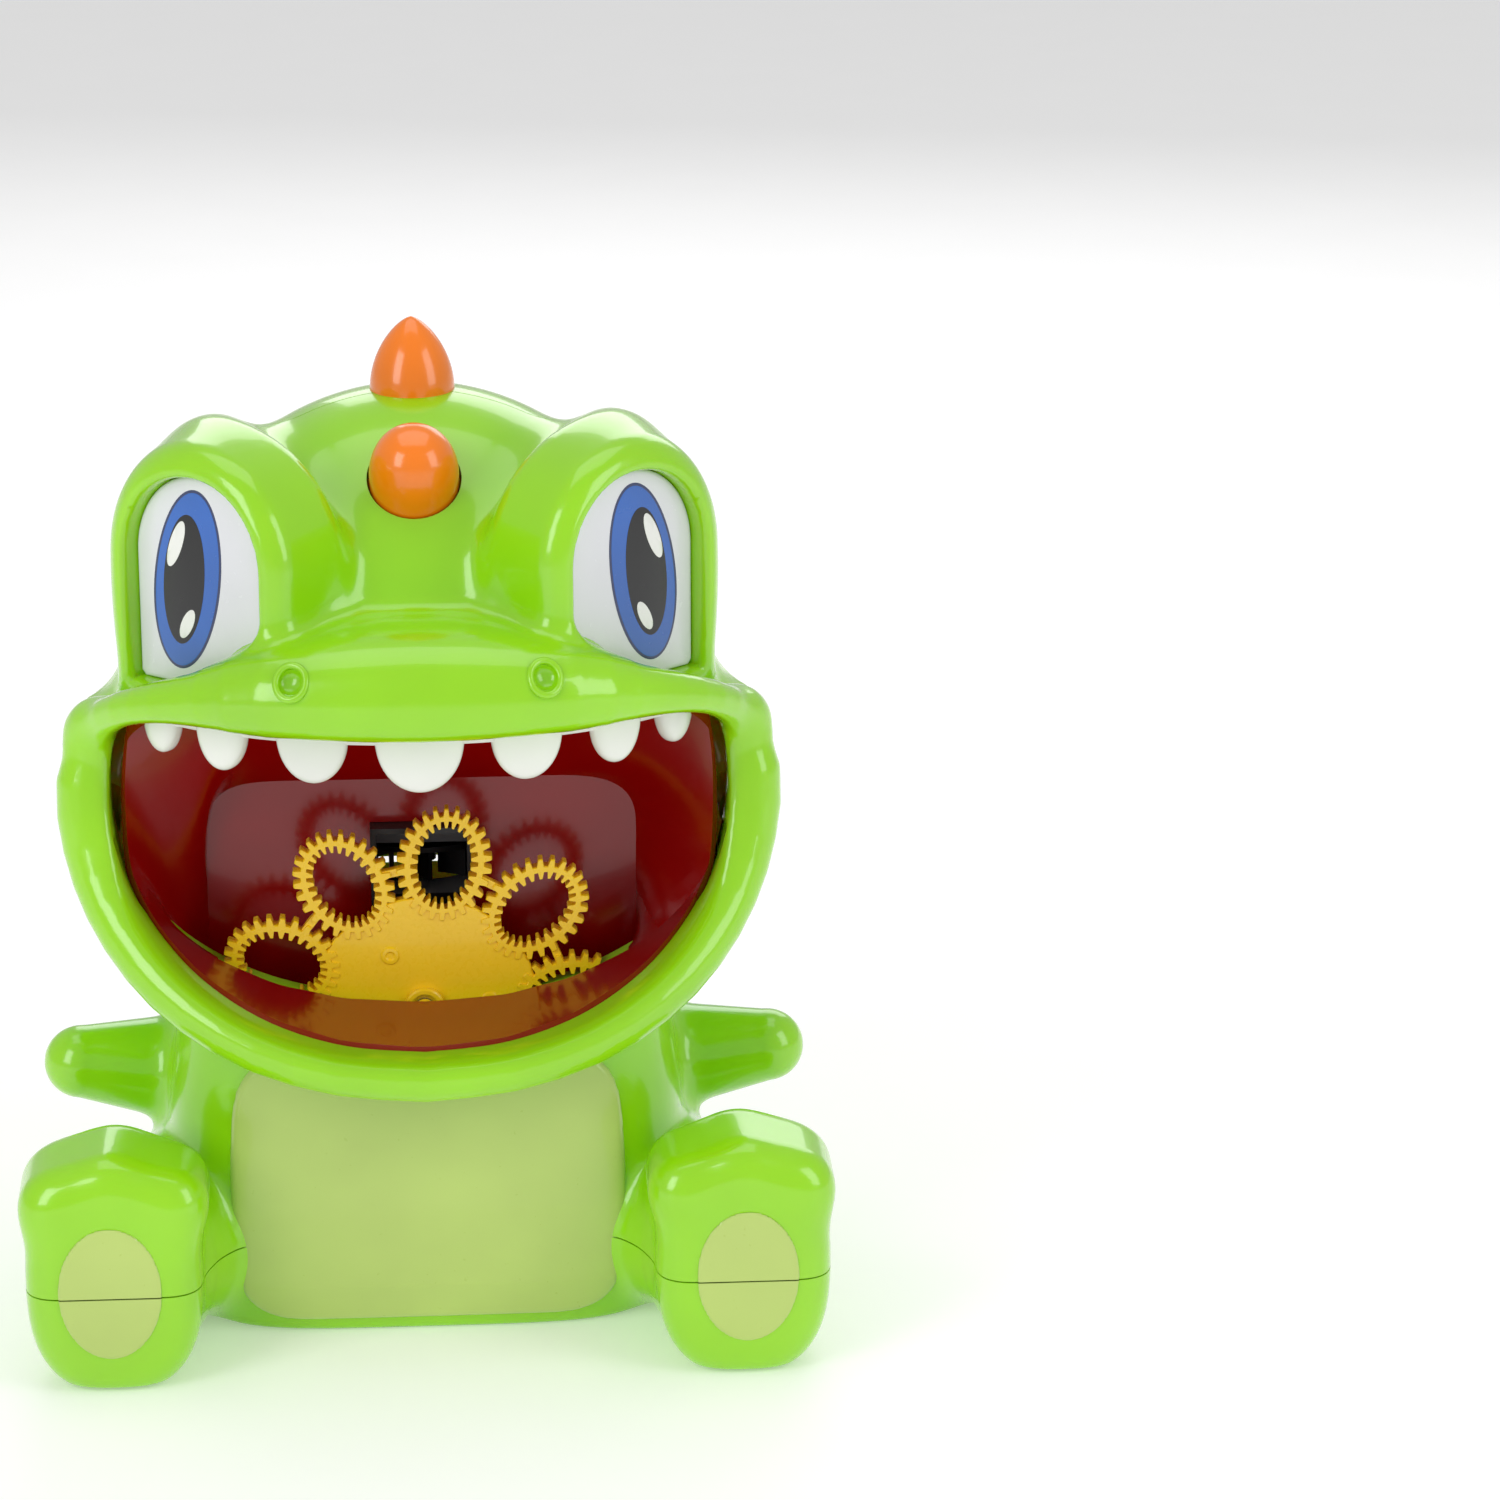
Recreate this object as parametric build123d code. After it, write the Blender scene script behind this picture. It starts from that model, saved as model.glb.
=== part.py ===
from build123d import *
import copy
import math
import os

# ---------------------------------------------------------------------------
# Cartoon dinosaur bubble machine, sitting, battery powered. Millimetres.
# +Z up, the face looks along -Y, +X is on the right seen from the front.
# A loop wheel turns in the mouth, dips its loops in a trough of bubble liquid
# and carries each one past a nozzle that a small blower feeds.
# ---------------------------------------------------------------------------

wall = 2.2
tub_wall = 1.8
slip = 0.15
split_z = 18.0
shift_y = 4.0

# outer body, as centre and radii
skull_c, skull_r = (0, 3, 116), (46.5, 41, 47.5)
cheek_c, cheek_r = (0, -3, 88), (63.5, 46, 42)
snout_c, snout_r = (0, -42, 122), (34, 17, 11)
brow_c, brow_r = (34, -12, 136), (14.5, 27, 25.5)
foot_c, foot_r = (54.0, -45, 19), (15.4, 12, 20.5)
toes = ((44.5, -46.5, 34.5), (54.5, -49, 36.5), (63.4, -46.5, 33.0))
toe_r = 5.8
hip_c, hip_r = (31, 0, 17), 19.5
ankle_c, ankle_r = (50, -34, 17), 14.5
shoulder_c, shoulder_r = (43, -3, 40), 10
hand_c, hand_r = (61.5, -8, 43.5), 6.5
tail_root_c, tail_root_r = (0, 24, 13), 15
tail_tip_c, tail_tip_r = (0, 41, 4.5), 4.5

# torso sections: height, half width, half depth to the front, half depth to the back
torso_rows = (
    (0.0, 41.0, 31.0, 29.0),
    (10.0, 45.5, 34.5, 32.0),
    (25.0, 47.0, 36.0, 33.0),
    (42.0, 45.5, 35.5, 32.0),
    (58.0, 44.0, 34.5, 30.5),
    (72.0, 43.5, 34.5, 28.0),
)
torso_front_power, torso_back_power = 6.0, 3.0

# eye plane and its arched outline
eye_mid, eye_yaw = (35.8, -32.0, 138.5), 42.0
eye_half, eye_top, eye_low = 14.9, 17.5, -19.5
socket_rim, socket_front, socket_deep = 4.8, 3.2, -16.0

# mouth rim, as x, y, z and radius
lip_rows = (
    (54.8, -20.0, 109.5, 4.4),
    (57.2, -20.5, 99.0, 5.6),
    (56.4, -22.5, 88.5, 5.6),
    (53.2, -27.0, 78.8, 5.2),
    (47.3, -33.5, 70.6, 4.9),
    (39.0, -39.8, 64.0, 4.7),
    (28.0, -45.3, 58.8, 4.5),
    (14.5, -48.8, 55.6, 4.4),
    (0.0, -50.0, 54.6, 4.4),
)
upper_lip_rows = (
    (57.0, -19.0, 108.5, 3.6),
    (49.5, -32.5, 115.6, 3.4),
    (38.5, -42.0, 119.5, 4.6),
    (24.0, -48.5, 121.5, 7.0),
    (0.0, -50.5, 122.5, 8.6),
)
jaw_rows = (
    (58.5, 108.0), (61.0, 98.0), (60.0, 87.0), (56.6, 76.5),
    (50.0, 67.6), (41.0, 60.6), (29.0, 55.0), (15.0, 52.0), (0.0, 51.2),
)
jaw_depth_x, jaw_depth_y = 61.0, 50.0

# inside of the mouth: rows of x and z at the front, and the flat back wall
mouth_rows = (
    (0.0, 114.4), (25.0, 114.4), (44.0, 113.6), (50.5, 109.0), (52.3, 99.0),
    (51.5, 88.5), (48.7, 80.4), (43.6, 73.8), (36.5, 68.0), (26.4, 63.0),
    (14.0, 59.9), (0.0, 58.9),
)
back_rows = (
    (0.0, 95.0), (20.0, 95.0), (33.0, 95.0), (38.0, 90.0), (38.0, 80.0),
    (38.0, 70.0), (38.0, 58.0), (34.5, 51.0), (20.0, 50.5), (0.0, 50.5),
)
mouth_mid_z = 84.0
tub_step_y, tub_back_y = -24.0, -8.0

# loop wheel and its trough
hub_z = 57.0
wheel_y = -19.5
wheel_thick = 3.0
wheel_disc_r = 20.0
loop_count = 9
loop_ring_r = 26.6
loop_out, loop_in = (9.9, 7.6), (6.6, 4.4)
first_loop = 81.5
trough_r = 37.4
trough_front_y, trough_back_y = -24.2, -14.6
shaft_r = 2.0
shaft_play = 0.06

# gear train
gear_m = 0.6
gear_add, gear_ded, gear_play = 0.80, 1.40, 0.24
pinion_teeth, wheel_teeth, output_teeth = 12, 32, 40
gear_thick = 2.2
layer_a_y, layer_b_y, layer_c_y = -3.6, -0.9, 1.8
axle_r = 1.0
gearbox_y0, gearbox_y1 = -6.0, 4.6
plate = 1.2

# motors
motor_r, motor_flat, motor_len = 10.0, 7.6, 24.0
tab_tall = 0.9

# blower, lying flat under the battery bay
fan_y = 14.5
scroll_z0, scroll_z1 = 71.2, 81.6
scroll_r, scroll_wall = 17.5, 1.2
fan_r, fan_tall = 14.4, 6.4
fan_motor_z0 = 41.5
nozzle_z, nozzle_w, nozzle_h = 79.5, 16.0, 13.0

# battery bay
cell_r, cell_len, cell_y = 7.15, 49.0, 22.0
cell_step = 14.6
cell_z0 = 88.2
door_half, door_z0, door_z1 = 31.0, 84.5, 141.0
door_lug_x, door_lug_z, door_lug_r = 37.0, 113.7, 6.1
door_gap = 0.25

# buttons, spikes and screws
spike_r, spike_tall = 7.4, 12.0
power_c, power_tilt, power_r = (0, -22.5, 153.4), 59.0, 7.7
music_y, music_z, music_r = 31.0, 151.2, 8.1
fixed_r = 8.8
door_spike_z, back_spike_z = 107.4, 48.0
screw_spots = ((25.0, 148.0), (58.0, 84.5), (39.3, 22.5))
boss_r, screw_head_r, screw_r = 3.9, 2.4, 1.2
screw_seat_y = 6.0
vent_rows = (80.8, 73.5, 65.6)
vent_half, vent_tall = 23.0, 3.2
grille_c = (41.0, 77.8)
grille_pitch, grille_hole_r = 4.6, 1.0
speaker_c, speaker_r = (38.5, 75.0), 10.0


# cylinders and boxes that start at their own plane
STANDING = (Align.CENTER, Align.CENTER, Align.MIN)

def ellipsoid(c, r, grow=0.0):
    ball = scale(Sphere(1), by=(r[0] + grow, r[1] + grow, r[2] + grow))
    return Pos(*c) * ball


# turns the seam line of each round cone away from the other surfaces
seam_turn = 73


def taper(c0, r0, c1, r1, grow=0.0):
    """Round-ended cone between two balls."""
    a, b = Vector(*c0), Vector(*c1)
    r0, r1 = r0 + grow, r1 + grow
    length = (b - a).length
    s = (r0 - r1) / length
    k = math.sqrt(1 - s * s)
    low = 0.5 * (math.asin(s) - math.pi / 2)
    high = 0.5 * (math.asin(s) + math.pi / 2)
    p0, p1 = (0, -r0), (r0 * k, r0 * s)
    p2, p3 = (r1 * k, length + r1 * s), (0, length + r1)
    edges = [
        ThreePointArc(p0, (r0 * math.cos(low), r0 * math.sin(low)), p1),
        Line(p1, p2),
        ThreePointArc(p2, (r1 * math.cos(high), length + r1 * math.sin(high)), p3),
        Line(p3, p0),
    ]
    solid = revolve(make_face(edges), Axis.Y)
    return Plane(origin=a, z_dir=b - a) * (Rot(0, 0, seam_turn) * Rot(90, 0, 0) * solid)


def both(shape):
    return shape + mirror(shape, Plane.YZ)


def rim(rows, grow=0.0):
    """Round rim with a changing radius, mirrored about the middle plane."""
    rows = list(rows) + [(-x, y, z, r) for x, y, z, r in reversed(rows) if x > 0]
    path = Spline(*[(x, y, z) for x, y, z, r in rows])
    rings = []
    for i, (x, y, z, r) in enumerate(rows):
        along = path.tangent_at(path.param_at_point((x, y, z)))
        across = Vector(0, 1, 0) - along * along.Y
        rings.append(Plane(origin=(x, y, z), x_dir=across, z_dir=along) * Circle(r + grow))
    return loft(rings)


def squircle(half, front, back, z):
    pts = []
    for i in range(24):
        t = 2 * math.pi * i / 24
        c, s = math.cos(t), math.sin(t)
        power = torso_back_power if s > 0 else torso_front_power
        deep = back if s > 0 else front
        x = half * math.copysign(abs(c) ** (2 / power), c)
        pts.append((x, deep * math.copysign(abs(s) ** (2 / power), s), z))
    return make_face(Spline(*pts, periodic=True))


def torso(grow=0.0):
    rows = [squircle(h + grow, f + grow, b + grow, z) for z, h, f, b in torso_rows]
    return loft(rows)


def outline(rows, y, grow=0.0):
    """Closed smooth face in the plane at y, sampled at equal angles about the mouth's middle."""
    ring = [(x, z - mouth_mid_z) for x, z in rows]
    ring += [(-x, z) for x, z in reversed(ring[:-1]) if x > 0]
    pts = []
    for i in range(40):
        t = 2 * math.pi * (i + 0.5) / 40
        c, s = math.cos(t), math.sin(t)
        for (x0, z0), (x1, z1) in zip(ring, ring[1:] + ring[:1]):
            d = c * (z1 - z0) - s * (x1 - x0)
            if abs(d) < 1e-9:
                continue
            far = (x0 * (z1 - z0) - z0 * (x1 - x0)) / d
            share = (x0 * s - z0 * c) / d
            if far > 0 and -1e-9 <= share < 1 + 1e-9:
                pts.append(((far + grow) * c, y, (far + grow) * s + mouth_mid_z))
                break
    return make_face(Spline(*pts, periodic=True))


def rod(a, b, r):
    a, b = Vector(*a), Vector(*b)
    bar = Cylinder(r, (b - a).length, align=STANDING)
    return Plane(origin=a, z_dir=b - a) * bar


def along_y(x, z, y0, y1, r):
    return rod((x, y0, z), (x, y1, z), r)


def block(x0, x1, y0, y1, z0, z1):
    return Pos((x0 + x1) / 2, (y0 + y1) / 2, (z0 + z1) / 2) * Box(x1 - x0, y1 - y0, z1 - z0)


def arch(half, top, low, near, far, lead=0.0):
    """Arched panel on the right eye's plane, from depth near to depth far."""
    yaw = math.radians(eye_yaw)
    flat = Plane(
        origin=eye_mid,
        x_dir=(math.cos(yaw), math.sin(yaw), 0),
        z_dir=(math.sin(yaw), -math.cos(yaw), 0),
    )
    base = top - half
    edges = [
        Line((-half, low), (half, low)),
        Line((half, low), (half, base)),
        ThreePointArc((half, base), (0, top), (-half, base)),
        Line((-half, base), (-half, low)),
    ]
    solid = extrude(make_face(edges), amount=far - near)
    if lead:
        solid = fillet(solid.faces().sort_by(Axis.Z)[-1].edges(), lead)
    return flat * (Pos(0, 0, near) * solid)


def socket(grow=0.0):
    half = eye_half + socket_rim + grow
    top = eye_top + socket_rim + grow
    low = eye_low - 3.0 - grow
    return arch(half, top, low, socket_deep, socket_front + grow, 2.8 if grow == 0 else 1.0)


def jaw(grow=0.0):
    rows = [(x, z) for x, z in jaw_rows]
    if grow:
        rows = [(max(x + grow, 0.0) if x else 0.0, z - grow if z < 60 else z) for x, z in rows]
    pts = rows + [(-x, z) for x, z in reversed(rows) if x > 0]
    edges = [Spline(*[(x, 0, z) for x, z in pts])]
    edges.append(Line((pts[-1][0], 0, pts[-1][1]), (pts[0][0], 0, pts[0][1])))
    slab = extrude(make_face(edges), amount=70, dir=(0, -1, 0))
    disc = Ellipse(jaw_depth_x + grow, jaw_depth_y + grow)
    return slab & extrude(Pos(0, 0, 30) * disc, amount=100)


def body(grow=0.0):
    """Whole outside shape, or the same shape smaller all round."""
    shape = ellipsoid(skull_c, skull_r, grow) + ellipsoid(cheek_c, cheek_r, grow)
    shape += torso(grow)
    shape += both(taper(hip_c, hip_r, ankle_c, ankle_r, grow))
    shape += both(ellipsoid(foot_c, foot_r, grow))
    shape += both(taper(shoulder_c, shoulder_r, hand_c, hand_r, grow))
    shape += taper(tail_root_c, tail_root_r, tail_tip_c, tail_tip_r, grow)
    shape += both(ellipsoid(brow_c, brow_r, grow))
    shape += both(socket(grow))
    shape += ellipsoid(snout_c, snout_r, grow)
    shape += jaw(grow)
    shape += rim(upper_lip_rows, grow)
    if grow == 0:
        shape += rim(lip_rows)
        for x, y, z in toes:
            shape += both(Pos(x, y, z) * Sphere(toe_r))
    floor = -grow
    return shape & block(-100, 100, -100, 100, floor, 200)


def dome(at, way, r, tall, skirt):
    """Round knob: a short wall below its seat and a gumdrop above it."""
    pts = []
    for i in range(9):
        t = math.radians(90 * i / 8)
        pts.append((r * math.cos(t) ** 0.8, tall * math.sin(t)))
    pts[-1] = (0.0, tall)
    edges = [Spline(*pts, tangents=[(0, 1), (-1, 0)])]
    edges += [Polyline((0, tall), (0, -skirt), (r, -skirt), (r, 0))]
    solid = revolve(make_face(edges), Axis.Y)
    return Plane(origin=at, z_dir=way) * (Rot(90, 0, 0) * solid)


def gear(teeth, x, z, y, bore, start=0.0):
    """Spur gear about an axis along Y, with involute flanks."""
    pitch = gear_m * teeth / 2
    base = pitch * math.cos(math.radians(20))
    tip, root = pitch + gear_add * gear_m, pitch - gear_ded * gear_m
    half = (math.pi * gear_m / 2 - gear_play) / (2 * pitch)
    inv = math.tan(math.radians(20)) - math.radians(20)
    flank = []
    for i in range(5):
        r = max(root, base) + (tip - max(root, base)) * i / 4
        a = math.acos(min(1.0, base / r))
        flank.append((r, half + inv - (math.tan(a) - a)))
    if root < base:
        flank.insert(0, (root, flank[0][1] * 1.0))
    pts = []
    for n in range(teeth):
        mid = math.radians(start) + 2 * math.pi * n / teeth
        pts += [(r * math.cos(mid - w), r * math.sin(mid - w)) for r, w in flank]
        pts += [(r * math.cos(mid + w), r * math.sin(mid + w)) for r, w in reversed(flank)]
    face = make_face(Polyline(*pts, close=True)) - Circle(bore)
    solid = extrude(face, amount=gear_thick)
    return Plane(origin=(x, y - gear_thick / 2, z), x_dir=(1, 0, 0), z_dir=(0, 1, 0)) * solid


def motor(at, way, side):
    """Small flat-sided motor: can, end cap and shaft with its armature."""
    frame = Plane(origin=at, x_dir=side, z_dir=way)
    can = Cylinder(motor_r, motor_len, align=STANDING)
    can &= Pos(0, 0, motor_len / 2) * Box(2 * motor_flat, 30, motor_len)
    hollow = Pos(0, 0, -1) * Cylinder(motor_r - 0.7, motor_len + 0.2, align=STANDING)
    hollow &= Pos(0, 0, motor_len / 2 - 1) * Box(2 * motor_flat - 1.4, 30, motor_len)
    can += Pos(0, 0, motor_len) * Cylinder(3.0, 1.2, align=STANDING)
    can = can - hollow - Cylinder(1.0 + shaft_play, 60)
    cap = Pos(0, 0, 0) * Cylinder(motor_r - 0.8, 2.0, align=STANDING)
    cap &= Pos(0, 0, 1) * Box(2 * motor_flat - 1.6, 30, 2)
    cap += Pos(0, 5.5, -tab_tall / 2) * Box(3.2, 0.5, tab_tall)
    cap += Pos(0, -5.5, -tab_tall / 2) * Box(3.2, 0.5, tab_tall)
    cap += Pos(0, 0, -1.0) * Cylinder(2.6, 1.0, align=STANDING)
    cap -= Cylinder(1.0 + shaft_play, 12)
    armature = Pos(0, 0, 4) * Cylinder(5.6, motor_len - 8, align=STANDING)
    return frame * can, frame * cap, frame, armature


def screw(x, z, seat, r, head_r, length, head=1.8, slot=0.8):
    """Screw along Y with its head towards the back, seated at the given depth."""
    solid = along_y(x, z, seat - length, seat + 0.01, r) + along_y(x, z, seat, seat + head, head_r)
    solid -= block(x - 0.4, x + 0.4, seat + head - slot, seat + 2, z - head_r * 0.75, z + head_r * 0.75)
    solid -= block(x - head_r * 0.75, x + head_r * 0.75, seat + head - slot, seat + 2, z - 0.4, z + 0.4)
    return solid


parts = {}

# --- outside shape, hollow --------------------------------------------------
outer = body()
inner = body(-wall)
shell = copy.deepcopy(outer - inner)

# screw bosses from the parting plane to the back surface, and posts in front
back_posts, front_posts, back_bores, front_bores, screws = [], [], [], [], []
for x, z in screw_spots:
    for s in (1, -1):
        back_posts.append(along_y(s * x, z, 0, 60, boss_r))
        front_posts.append(along_y(s * x, z, -10, 0, boss_r - 0.4))
        if z < 30:
            front_posts.append(block(min(s * x, s * 53), max(s * x, s * 53), -9, 0, z - 1.5, z + 1.5))
        back_bores.append(along_y(s * x, z, screw_seat_y, 60, screw_head_r + 0.15))
        back_bores.append(along_y(s * x, z, -1, screw_seat_y, screw_r + 0.2))
        front_bores.append(along_y(s * x, z, -9, 1, screw_r))
        screws.append(screw(s * x, z, screw_seat_y, screw_r - 0.05, screw_head_r, 13.5))

# battery bay frame, lug post, speaker ring and board posts on the back half
frame_in, frame_out = 0.35, 1.3
bay = block(-door_half - frame_out, door_half + frame_out, 14.7, 60, door_z0 - frame_out, door_z1 + frame_out)
bay -= block(-door_half - frame_in, door_half + frame_in, 0, 60, door_z0 - frame_in, door_z1 + frame_in)
lug_post = along_y(door_lug_x, door_lug_z, 7.0, 17.8, 3.4)
lug_post += block(door_half + 0.2, door_lug_x, 14.7, 17.8, door_lug_z - 3.0, door_lug_z + 3.0)
ring = along_y(*speaker_c, 14.4, 60, speaker_r + 1.5) - along_y(*speaker_c, 0, 70, speaker_r + 0.2)
ring += along_y(*speaker_c, 17.1, 18.5, speaker_r + 0.5) - along_y(*speaker_c, 10, 30, speaker_r - 1.3)
board_spots = ((-31.5, 39.0), (-13.5, 39.0), (-31.5, 57.0), (-13.5, 57.0))
board_y = 18.0
inside = bay + lug_post + ring
for x, z in board_spots:
    inside += along_y(x, z, board_y + 1.5, 60, 1.7)
for s in (1, -1):
    inside += along_y(s * 12.6, music_z, 4.3, 60, 1.8)
for post in back_posts:
    inside += post
inside &= outer
tilt = math.radians(power_tilt)
power_way = Vector(0, -math.cos(tilt), math.sin(tilt))


def on_power(side, deep):
    """Point beside the forehead button's axis, at a depth below its seat."""
    p = Vector(*power_c) - power_way * deep
    return (p.X + side, p.Y, p.Z)


forward = None
for post in front_posts + [rod(on_power(s * 12.2, 16.6), on_power(s * 12.2, 0), 1.7) for s in (1, -1)]:
    forward = post if forward is None else forward + post
forward &= outer

back_zone = block(-100, 100, 0, 100, -1, 200) + block(-100, 100, -100, 1, -1, split_z)
rear = (shell & back_zone) + inside
front = (shell & block(-100, 100, -100, 0, split_z, 200)) + forward

# --- mouth tub and its trough -----------------------------------------------
def tub_body(grow, ahead):
    """Space the mouth tub fills: a straight front, a tapering back and the wheel's trough."""
    near = outline(mouth_rows, tub_step_y, grow)
    far = outline(back_rows, tub_back_y + grow, grow)
    shape = extrude(near, amount=ahead, dir=(0, -1, 0)) + loft([near, far], ruled=True)
    shape += along_y(0, hub_z, trough_front_y - grow, trough_back_y + grow, trough_r + grow)
    return shape


tub_out = tub_body(tub_wall, 40)
tub_in = tub_body(0.0, 60)
rim_zone = extrude(Pos(0, 0, 30) * Ellipse(jaw_depth_x - 3.0, jaw_depth_y - 2.6), amount=100)
rim_zone += block(-45, 45, -45, 30, 8, 58)
tub = (tub_out - tub_in) & rim_zone
tub -= along_y(0, hub_z, -12, 0, shaft_r + shaft_play)
nozzle_half, nozzle_rise = nozzle_w / 2, nozzle_h / 2
nozzle_low, nozzle_high = nozzle_z - nozzle_rise, nozzle_z + nozzle_rise
tub -= block(-nozzle_half - 1.1, nozzle_half + 1.1, -12, 0, nozzle_low - 1.1, nozzle_high + 1.1)
for x, z in ((-11.5, 24.5), (20.5, 27.5)):
    tub += along_y(x, z, -13.2, -6.1, 2.2)
tub_clear = tub_body(tub_wall + slip, 40)
clear_zone = extrude(Pos(0, 0, 30) * Ellipse(jaw_depth_x - 2.8, jaw_depth_y - 2.4), amount=100)
clear_zone += block(-46, 46, -46, 30, 7, 58)
front -= tub_clear & clear_zone
front -= extrude(outline(mouth_rows, tub_step_y, 0.6), amount=60, dir=(0, -1, 0))
rear -= along_y(0, hub_z, trough_front_y - 2.2, trough_back_y + 2.2, trough_r + 2.2)

# --- eyes ---------------------------------------------------------------------
eye = arch(eye_half + 2.2, eye_top + 2.2, eye_low, -1.2, 0.85)
opening = arch(eye_half, eye_top, eye_low + 0.1, -4.0, 14.0)
front -= both(opening)
eye_seat = arch(eye_half + 2.4, eye_top + 2.4, eye_low - 0.2, -1.4, 0.95)
front -= both(eye_seat)
eye -= ellipsoid(snout_c, snout_r, 0.1)

# --- knobs and buttons -----------------------------------------------------------
rear -= rod((0, skull_c[1], 150), (0, skull_c[1], 170), 2.5)
crown = skull_c[2] + skull_r[2]
spike_pts = [(0, spike_tall), (2.9, spike_tall - 2.0), (5.4, 6.0), (spike_r, 0)]
spike_edges = [Spline(*spike_pts), Polyline((spike_r, 0), (spike_r, -4), (0, -4), (0, spike_tall))]
top_spike = revolve(make_face(spike_edges), Axis.Y)
top_spike = Plane(origin=(0, skull_c[1], crown - 0.4), z_dir=(0, 0, 1)) * (Rot(90, 0, 0) * top_spike)
top_spike -= ellipsoid(skull_c, skull_r, 0.02)
top_spike += rod((0, skull_c[1], crown - 5), (0, skull_c[1], crown + 1), 2.4)

front -= rod(on_power(0, 9), on_power(0, -14), power_r + 0.4)
power_button = dome(power_c, power_way, power_r, 9.2, 5.6)
power_button += rod(on_power(0, 7.0), on_power(0, 5.6), power_r + 1.7)
power_button += rod(on_power(0, 10.0), on_power(0, 6.5), 2.0)
power_board = Plane(origin=on_power(0, 16.6), x_dir=(1, 0, 0), z_dir=-power_way) * Box(28, 9, 1.2, align=STANDING)
power_switch = Plane(origin=on_power(0, 16.6), x_dir=(1, 0, 0), z_dir=power_way) * Box(6, 6, 3.4, align=STANDING)
power_switch += rod(on_power(0, 13.4), on_power(0, 11.6), 1.7)

rear -= along_y(0, music_z, 12, 60, music_r + 0.35)
music_button = dome((0, music_y, music_z), (0, 1, 0), music_r, 9.0, music_y - 17.0)
tabs = block(-music_r - 2.0, music_r + 2.0, 18.0, 19.4, music_z - 2.5, music_z + 2.5)
music_button += tabs
music_button += along_y(0, music_z, 11.0, 17.5, 2.0)
music_board = block(-15, 15, 3.0, 4.2, music_z - 4.5, music_z + 4.5)
music_switch = block(-3, 3, 4.2, 7.6, music_z - 3, music_z + 3) + along_y(0, music_z, 7.4, 9.4, 1.7)

back_seat_y = 31.6
rear -= along_y(0, back_spike_z, 20, 60, fixed_r + 0.15)
back_spike = dome((0, back_seat_y, back_spike_z), (0, 1, 0), fixed_r, 9.2, 3.2)
back_spike += along_y(0, back_spike_z, 26.2, 28.4, fixed_r + 1.5) & inner
door_spike = dome((0, 42.0, door_spike_z), (0, 1, 0), fixed_r, 9.6, 3.0)
door_spike -= ellipsoid(skull_c, skull_r, 0.02)
door_spike += along_y(0, door_spike_z, 38.0, 46.0, 2.6)

# --- battery door --------------------------------------------------------------
door_hole = block(-door_half, door_half, 18.0, 60, door_z0, door_z1)
door_hole += along_y(door_lug_x, door_lug_z, 18.0, 60, door_lug_r)
door_hole += block(door_half - 1, door_lug_x, 18.0, 60, door_lug_z - door_lug_r, door_lug_z + door_lug_r)
gap = door_gap
door_form = block(-door_half + gap, door_half - gap, 18.2, 60, door_z0 + gap, door_z1 - gap)
door_form += along_y(door_lug_x, door_lug_z, 18.2, 60, door_lug_r - gap)
door_lug_half = door_lug_r - gap
door_form += block(
    door_half - 1, door_lug_x, 18.2, 60, door_lug_z - door_lug_half, door_lug_z + door_lug_half)
door = shell & door_form
door += along_y(door_lug_x, door_lug_z, 18.2, 60, 3.6) & outer
for z0 in (door_z0 + 0.5, door_z1 - 1.7):
    door += block(-22, 22, 23.5, 60, z0, z0 + 1.2) & outer
door -= along_y(door_lug_x, door_lug_z, 20.2, 60, screw_head_r + 0.15)
door -= along_y(door_lug_x, door_lug_z, 10, 60, screw_r + 0.2)
door -= along_y(0, door_spike_z, 30, 60, 2.7)
rear -= door_hole
rear -= along_y(door_lug_x, door_lug_z, 8, 30, screw_r)
door_screw = screw(door_lug_x, door_lug_z, 20.2, screw_r - 0.05, screw_head_r, 10.5)

# --- openings in the back half ---------------------------------------------------
for z in vent_rows:
    slot = block(-vent_half, vent_half, 20, 60, z - vent_tall / 2, z + vent_tall / 2)
    rear -= slot
grille = along_y(*grille_c, 16, 60, grille_hole_r)
for n in range(6):
    for k in (1, 2):
        t = math.radians(60 * n + 8)
        x = grille_c[0] + k * grille_pitch * math.cos(t)
        z = grille_c[1] + k * grille_pitch * math.sin(t)
        grille += along_y(x, z, 16, 60, grille_hole_r)
rear -= grille
for bore in back_bores:
    rear -= bore
for bore in front_bores:
    front -= bore

parts["front_casing"] = front
parts["rear_casing"] = rear
parts["mouth_tub"] = tub
parts["left_eye"] = eye
parts["right_eye"] = mirror(eye, Plane.YZ)
parts["top_spike"] = top_spike
parts["power_button"] = power_button
parts["music_button"] = music_button
parts["back_spike"] = back_spike
parts["battery_door"] = door
parts["door_spike"] = door_spike
parts["door_screw"] = door_screw
casing_screws = screws[0]
for s in screws[1:]:
    casing_screws += s
parts["casing_screws"] = casing_screws

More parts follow.
